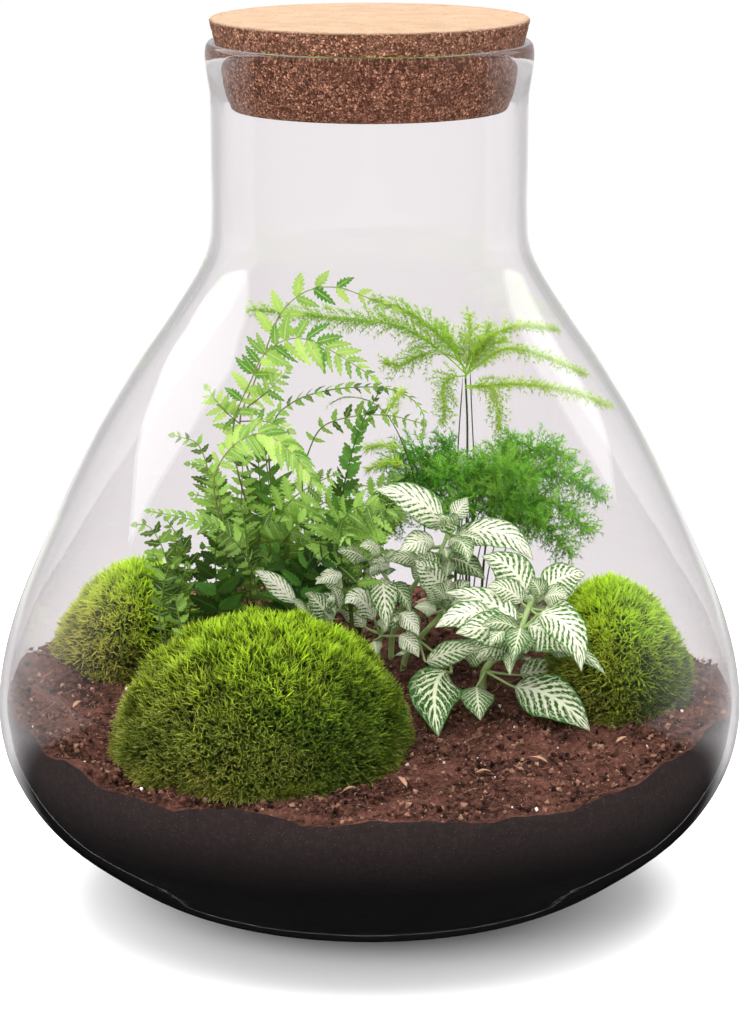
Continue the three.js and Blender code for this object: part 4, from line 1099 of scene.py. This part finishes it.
def nerve_leaf(gather, foot, base, middle, tip, width, pale, rng, grid=(33, 13)):
    """A quilted leaf on its stalk, as a grid of rows and columns."""
    foot, base, middle, tip = (np.array(p, float) for p in (foot, base, middle, tip))
    share = np.linspace(0, 1, grid[0])
    t = share[:, None]
    rib = (1 - t) ** 2 * base + 2 * t * (1 - t) * middle + t * t * tip
    along = unit(np.gradient(rib, axis=0))
    face = np.array(NERVE_FACE)
    out = unit(face - along * (along @ face)[:, None])
    across = np.cross(along, out)
    half = width / 2 * 1.3 * np.sin(pi * share ** 0.72) ** 0.9 * (1 - 0.12 * share)
    half[-1] = 0
    wave = rng.uniform(0, 2 * pi)
    columns = np.linspace(-1, 1, grid[1])
    rows = []
    for v in columns:
        edge = rib + across * (half * v)[:, None]
        ripple = 0.08 * abs(v) ** 2 * np.sin(share * 16 + wave + 2 * v)
        quilt = 0.14 * np.sin(share * 56 - 9 * abs(v)) * abs(v) * (1.1 - abs(v))
        dip = 0.32 * abs(v) - 0.1 * v * v
        edge += out * (half * (ripple + quilt - dip))[:, None]
        rows.append(edge)
    points = np.stack(rows, axis=1)
    gather.grid(points, along=np.repeat(share, grid[1]), beside=np.tile(columns, grid[0]), tone=pale)
    stalk = Line([foot, (foot + base) / 2 + np.array([0, 0, -0.3]), base, rib[2]])
    tube(gather, stalk, 0.65, rows=8)


def about(foot, point, turn, grown):
    """A point turned about the stalk's foot by some degrees, nearer to it and a little lower."""
    foot, point = np.array(foot, float), np.array(point, float)
    x, y, z = (point - foot) * grown
    c, s = cos(radians(turn)), sin(radians(turn))
    return foot + (c * x - s * y, s * x + c * y, z * 0.8 - 1.5)


def nerve_plant(name, root, radius, path, leaves, material):
    leaves = trails(leaves)
    rng = np.random.default_rng(len(leaves) + 40)
    gather = Gather()
    tube(gather, Line(rooted(root, trail(path))), radius * 1.1, sides=9, rows=40)
    for foot, base, middle, tip, (width, pale) in leaves:
        nerve_leaf(gather, foot, base, middle, tip, width * 0.88, pale, rng)
        if name == LONE:
            continue
        for turn, grown in ((rng.uniform(35, 70), 0.75), (rng.uniform(-70, -35), 0.7)):
            placed = [about(foot, point, turn, grown) for point in (base, middle, tip)]
            nerve_leaf(gather, foot, *placed, width * 0.62, rng.uniform(0.05, 0.7), rng, grid=(19, 7))
    gather.piece(name + "_leaves", material, "nerve", name)


# Asparagus ferns

# Growth of the twigs: how many on the arm, in how many ways, how far they lean ahead, and their needles
SPRAY_FACE = (0.1, -0.5, 0.85)
LOOSE = {"density": 1.0, "ways": 5, "ahead": -0.3, "needle": 2.7, "each": 4, "thick": 0.19}
SPRAYS = [
    {"name": "asparagus_fern_upper", "root": (41, 66), "colour": "lime", "radius": 0.6,
     "twig": 9, "flat": 0.7, "thin": (3, 4, 5),
     "growth": {"density": 1.05, "ways": 3, "ahead": 0.5, "needle": 2.4, "each": 5, "thick": 0.16},
     "stem": "41 65 130, 41 64 158, 41 62 182, 40 60 206", "stems": """
    44 63 160, 43 61 184, 42 60 207
    37 64 160, 39 61 202
    """, "arms": """
    40 60 204, 29 58 214, 13 56 224, -16 54 228, -51 50 233
    40 60 206, 29 56 221, 15 52 231, 1 48 237
    29 58 214, 21 54 212, 12 50 209, 6 46 211
    40 60 205, 46 56 217, 60 44 227, 77 18 231
    40 60 203, 56 50 216, 72 36 216, 88 14 213
    40 60 198, 62 44 203, 83 22 204, 97 2 202
    40 60 203, 32 54 202, 31 50 185
    40 60 199, 51 52 199, 54 48 183
    40 60 202, 46 58 214, 50 54 226
    40 60 204, 42 62 216, 42 62 228
    40 60 203, 46 60 213, 57 55 220
    40 60 204, 36 62 214, 30 62 224
    """},
    {"name": "asparagus_fern_lower_left", "root": (36, 60), "colour": "dark", "radius": 0.5,
     "twig": 14, "flat": 0.9, "growth": LOOSE,
     "stem": "36 60 120, 34 58 140, 31 56 155", "stems": """
    34 60 124, 35 60 150
    37 60 124, 40 60 150
    39 60 124, 43 60 150
    """, "arms": """
    31 56 153, 22 53 163, 12 48 160, 2 44 148
    33 57 148, 26 52 156, 16 46 152, 8 40 142
    31 56 154, 26 56 168, 17 54 172, 6 52 166
    31 56 154, 34 54 167, 30 50 178
    """},
    {"name": "asparagus_fern_lower_right", "root": (47, 60), "colour": "dark", "radius": 0.5,
     "twig": 14, "flat": 0.9, "growth": LOOSE,
     "stem": "48 60 120, 50 59 140, 53 57 155", "stems": """
    48 60 124, 54 60 150
    51 60 124, 58 60 148
    55 60 122, 63 60 146
    """, "arms": """
    53 57 154, 60 54 168, 72 50 175, 84 46 171
    52 57 150, 62 50 162, 80 40 166, 97 32 157
    51 58 145, 60 48 152, 76 38 154, 92 28 144
    53 57 153, 54 55 168, 60 52 180
    50 59 138, 62 48 146, 74 42 142, 84 36 132
    """},
    {"name": "asparagus_fern_lower_front", "root": (42, 55), "colour": "dark", "radius": 0.5,
     "twig": 14, "flat": 0.9, "growth": LOOSE,
     "stem": "42 54 120, 43 50 140, 44 46 152", "stems": """
    41 54 124, 46 52 148
    45 54 124, 50 50 148
    """, "arms": """
    44 46 150, 40 40 162, 34 34 170, 26 30 166
    44 46 151, 50 40 164, 58 32 170, 68 26 164
    44 47 146, 40 38 154, 35 30 156, 28 24 150
    43 48 145, 52 40 154, 62 32 156, 72 24 148
    44 46 151, 45 42 164, 47 36 174
    """},
]


def needles(gather, places, heading, length, tones, rng, each=5, thick=0.2):
    """Thin three-sided needles in tufts round each place."""
    count = len(places)
    spread = fan(heading, (0.2, 0.3, 1.0), rng.uniform(0, 2 * pi, (count, each)))
    splay = rng.uniform(0.5, 1.5, (count, each))[..., None]
    aim = unit(heading[:, None] + spread * splay)
    tip = places[:, None] + aim * (length * rng.uniform(0.7, 1.15, (count, each)))[..., None]
    cross = unit(np.cross(aim, spread + 0.01))
    third = np.cross(aim, cross)
    corners = [places[:, None] + (cross * cos(a) + third * sin(a)) * thick for a in (0.0, 2.1, 4.2)]
    points = np.stack([*corners, tip], axis=2)
    index = 4 * np.arange(count * each)[:, None, None]
    faces = (np.array([(0, 1, 3), (1, 2, 3), (2, 0, 3)])[None] + index).reshape(-1, 3)
    tone = np.repeat(tones, each * 4)
    gather.add(points, faces, along=np.tile([0.0, 0.0, 0.0, 1.0], count * each), tone=tone)


def spray_arm(gather, path, twig, flat, rng, light, density=1.0, ways=2, ahead=0.4, needle=3.8, each=4,
              thick=0.2):
    """A thin arm with twigs in several directions, all of them set with needles."""
    line = Line(path)
    tube(gather, line, 0.32, sides=5, rows=18, beside=0.0, tone=0.4 * light)
    count = int(line.length / 1.9 * density)
    for share in np.linspace(0.14, 0.97, count):
        at, along, out, across = line.frame(share, SPRAY_FACE)
        start = rng.uniform(0, 2 * pi)
        for way in range(ways):
            turn = start + 2 * pi * way / ways
            reach = twig * (1 - 0.6 * share ** 2) * rng.uniform(0.5, 1.1)
            away = across * cos(turn) + out * sin(turn) * flat
            heading = unit(along * rng.uniform(ahead, 1.1) + away)
            end = at + heading * reach + np.array([0, 0, -0.05 * reach])
            steps = max(int(reach / 1.3), 2)
            spots = at + (end - at) * np.linspace(0.15, 1, steps)[:, None]
            spots[:, 2] += 0.6 * np.sin(np.linspace(0, pi, steps))
            twig_line = Line([at, spots[len(spots) // 2], end])
            tube(gather, twig_line, 0.15, sides=3, rows=3, beside=0.0, tone=light)
            tones = np.full(steps, np.clip(light + rng.normal(0, 0.3), 0, 1))
            needles(gather, spots, np.tile(heading, (steps, 1)), needle, tones, rng, each, thick)
    spots = line.at(np.linspace(0.2, 1, int(line.length / 0.9)))
    aim = unit(np.gradient(spots, axis=0))
    needles(gather, spots, aim, 1.3 * needle, np.full(len(spots), light), rng, 4, thick)


def spray_plant(plant, material):
    rng = np.random.default_rng(sum(map(ord, plant["name"])))
    gather = Gather()
    tube(gather, Line(rooted(plant["root"], trail(plant["stem"]))), plant["radius"], rows=30, taper=0.3)
    x, y = plant["root"]
    for path in trails(plant["stems"]):
        tube(gather, Line([(x, y, float(ground(x, y)) + 1), *path]), 0.35, sides=5, rows=16, taper=0.3)
    for number, path in enumerate(trails(plant["arms"])):
        light = float(np.clip(0.4 + (path[-1][0] - 30) / 160 + rng.normal(0, 0.12), 0, 1))
        twig = plant["twig"] * (0.55 if number in plant.get("thin", ()) else 1)
        spray_arm(gather, path, twig, plant["flat"], rng, light, **plant["growth"])
    gather.piece(plant["name"] + "_needles", material, "fern_" + plant["colour"], plant["name"])


TWINING_ROOT = (24, 38)
TWINING_STEM = "24 34 120, 22 31 150, 17 28 171, 12 26 185, 7 24 194, 0 22 200, -10 20 202, -17 18 199"
TWINING_TWIGS = """
    17 28 171, 8 27 174, 0 26 171
    14 27 179, 6 25 181, -1 24 180
    7 24 194, 10 22 200, 13 20 204
"""


def twining_shoot(material):
    rng = np.random.default_rng(5)
    gather = Gather()
    line = Line(rooted(TWINING_ROOT, trail(TWINING_STEM)))
    tube(gather, line, 0.45, rows=60, taper=0.6)
    for twig in trails(TWINING_TWIGS):
        spray_arm(gather, twig, 3.0, 0.5, rng, 0.7, density=0.8)
    spots = line.at(np.linspace(0.78, 1, 16))
    needles(gather, spots, unit(np.gradient(spots, axis=0)), 3.0, np.full(16, 0.6), rng, each=2)
    gather.piece("twining_shoot_twigs", material, "fern_leaf", "twining_shoot")


# Making everything

glass_bottle(glass_material())
cork_stopper(cork_material())
soil_bed(soil_material())
crumbs = crumb_material()
soil_crumbs(crumbs)
soil_fibres(crumbs)
litter(crumbs)
moss_green = moss_material()
for moss in MOSSES:
    moss_cushion(moss, moss_green)
FERN_PAINTS = {
    "lime": leaf_material("fern_lime", "3f861a", "b2d866", "cfe290", "5b4432"),
    "leaf": leaf_material("fern_leaf", "123f06", "9acb56", "b5d67a", "4c4a26"),
    "dark": leaf_material("fern_dark", "07260a", "548f36", "2f6424", "1d1710", gloss=0.3),
}
for fern in FERNS:
    frond(fern, FERN_PAINTS[fern.colour])
veined = nerve_material()
for plant in NERVE_PLANTS:
    nerve_plant(*plant, veined)
NEEDLE_PAINTS = {
    "lime": needle_material("asparagus_lime", "b2e046", "e6fb74", "f4ffac"),
    "dark": needle_material("asparagus_dark", "50b028", "bcf060", "d4fa98"),
}
for plant in SPRAYS:
    spray_plant(plant, NEEDLE_PAINTS[plant["colour"]])
twining_shoot(NEEDLE_PAINTS["lime"])


# Studio


def studio_floor():
    mesh = bpy.data.meshes.new("studio_floor")
    corners = [(x * FLOOR_REACH, y * FLOOR_REACH, 0) for x, y in ((-1, -1), (1, -1), (1, 1), (-1, 1))]
    mesh.from_pydata(corners, [], [(0, 1, 2, 3)])
    mesh.materials.append(floor_material())
    made = bpy.data.objects.new("studio_floor", mesh)
    bpy.context.collection.objects.link(made)


# Where each light stands, its size, its power, and whether the glass mirrors it
SOFTBOXES = {
    "softbox_left": ((-1.25, 0.75, 1.15), (1.4, 1.0), 8, True),
    "softbox_right": ((1.2, 0.7, 1.1), (0.6, 1.1), 2.6, True),
    "softbox_top": ((0.0, 0.1, 1.9), (2.2, 2.2), 86, False),
    "softbox_front": ((-0.7, -1.8, 1.2), (1.2, 0.9), 24, False),
}
LIT_POINT = Vector((0, 0, 0.17))
FILL_LIGHT = 1.35
FLOOR_REACH = 6.0


def softbox(name, place, size, power, mirrored):
    """An area light aimed at the bottle."""
    data = bpy.data.lights.new(name, "AREA")
    data.shape = "RECTANGLE"
    data.size, data.size_y = size
    data.energy = power
    made = bpy.data.objects.new(name, data)
    made.location = place
    made.rotation_euler = (LIT_POINT - Vector(place)).to_track_quat("-Z", "Y").to_euler()
    made.visible_glossy = made.visible_transmission = mirrored
    bpy.context.collection.objects.link(made)


def studio_world():
    """White all round, but for the dark front that the glass mirrors."""
    world = bpy.data.worlds.new("studio")
    p = Paint("studio", world)
    ahead = p.node("SeparateXYZ", {"Vector": p.node("TexCoord", out="Generated")}, "Y")
    ray = p.node("LightPath")
    beyond = p.math("GREATER_THAN", ray["Transmission Depth"], WALLS_PASSED)
    mirrored = p.most(p.step(ahead, -0.15, 0.6, 0.01, 0.6), p.times(beyond, 0.6))
    direct = p.most(p.times(ray["Is Diffuse Ray"], FILL_LIGHT), ray["Is Camera Ray"])
    p.surface(p.node("Background", {"Color": WHITE, "Strength": p.most(mirrored, direct)}, "Background"))
    bpy.context.scene.world = world


def studio():
    studio_floor()
    studio_world()
    for name, settings in SOFTBOXES.items():
        softbox(name, *settings)
    bpy.context.scene.view_settings.view_transform = "Standard"


CAMERA_PLACE = (0, -1.423, 0.493)
CAMERA_TILT = 76.8
LENS = 127.97
SENSOR_WIDTH = 36


def camera():
    """The photograph's view, 13.2 degrees down from level."""
    data = bpy.data.cameras.new("camera")
    data.lens = LENS
    data.sensor_width = SENSOR_WIDTH
    made = bpy.data.objects.new("camera", data)
    made.location = CAMERA_PLACE
    made.rotation_euler = (radians(CAMERA_TILT), 0, 0)
    bpy.context.collection.objects.link(made)
    bpy.context.scene.camera = made


studio()
camera()
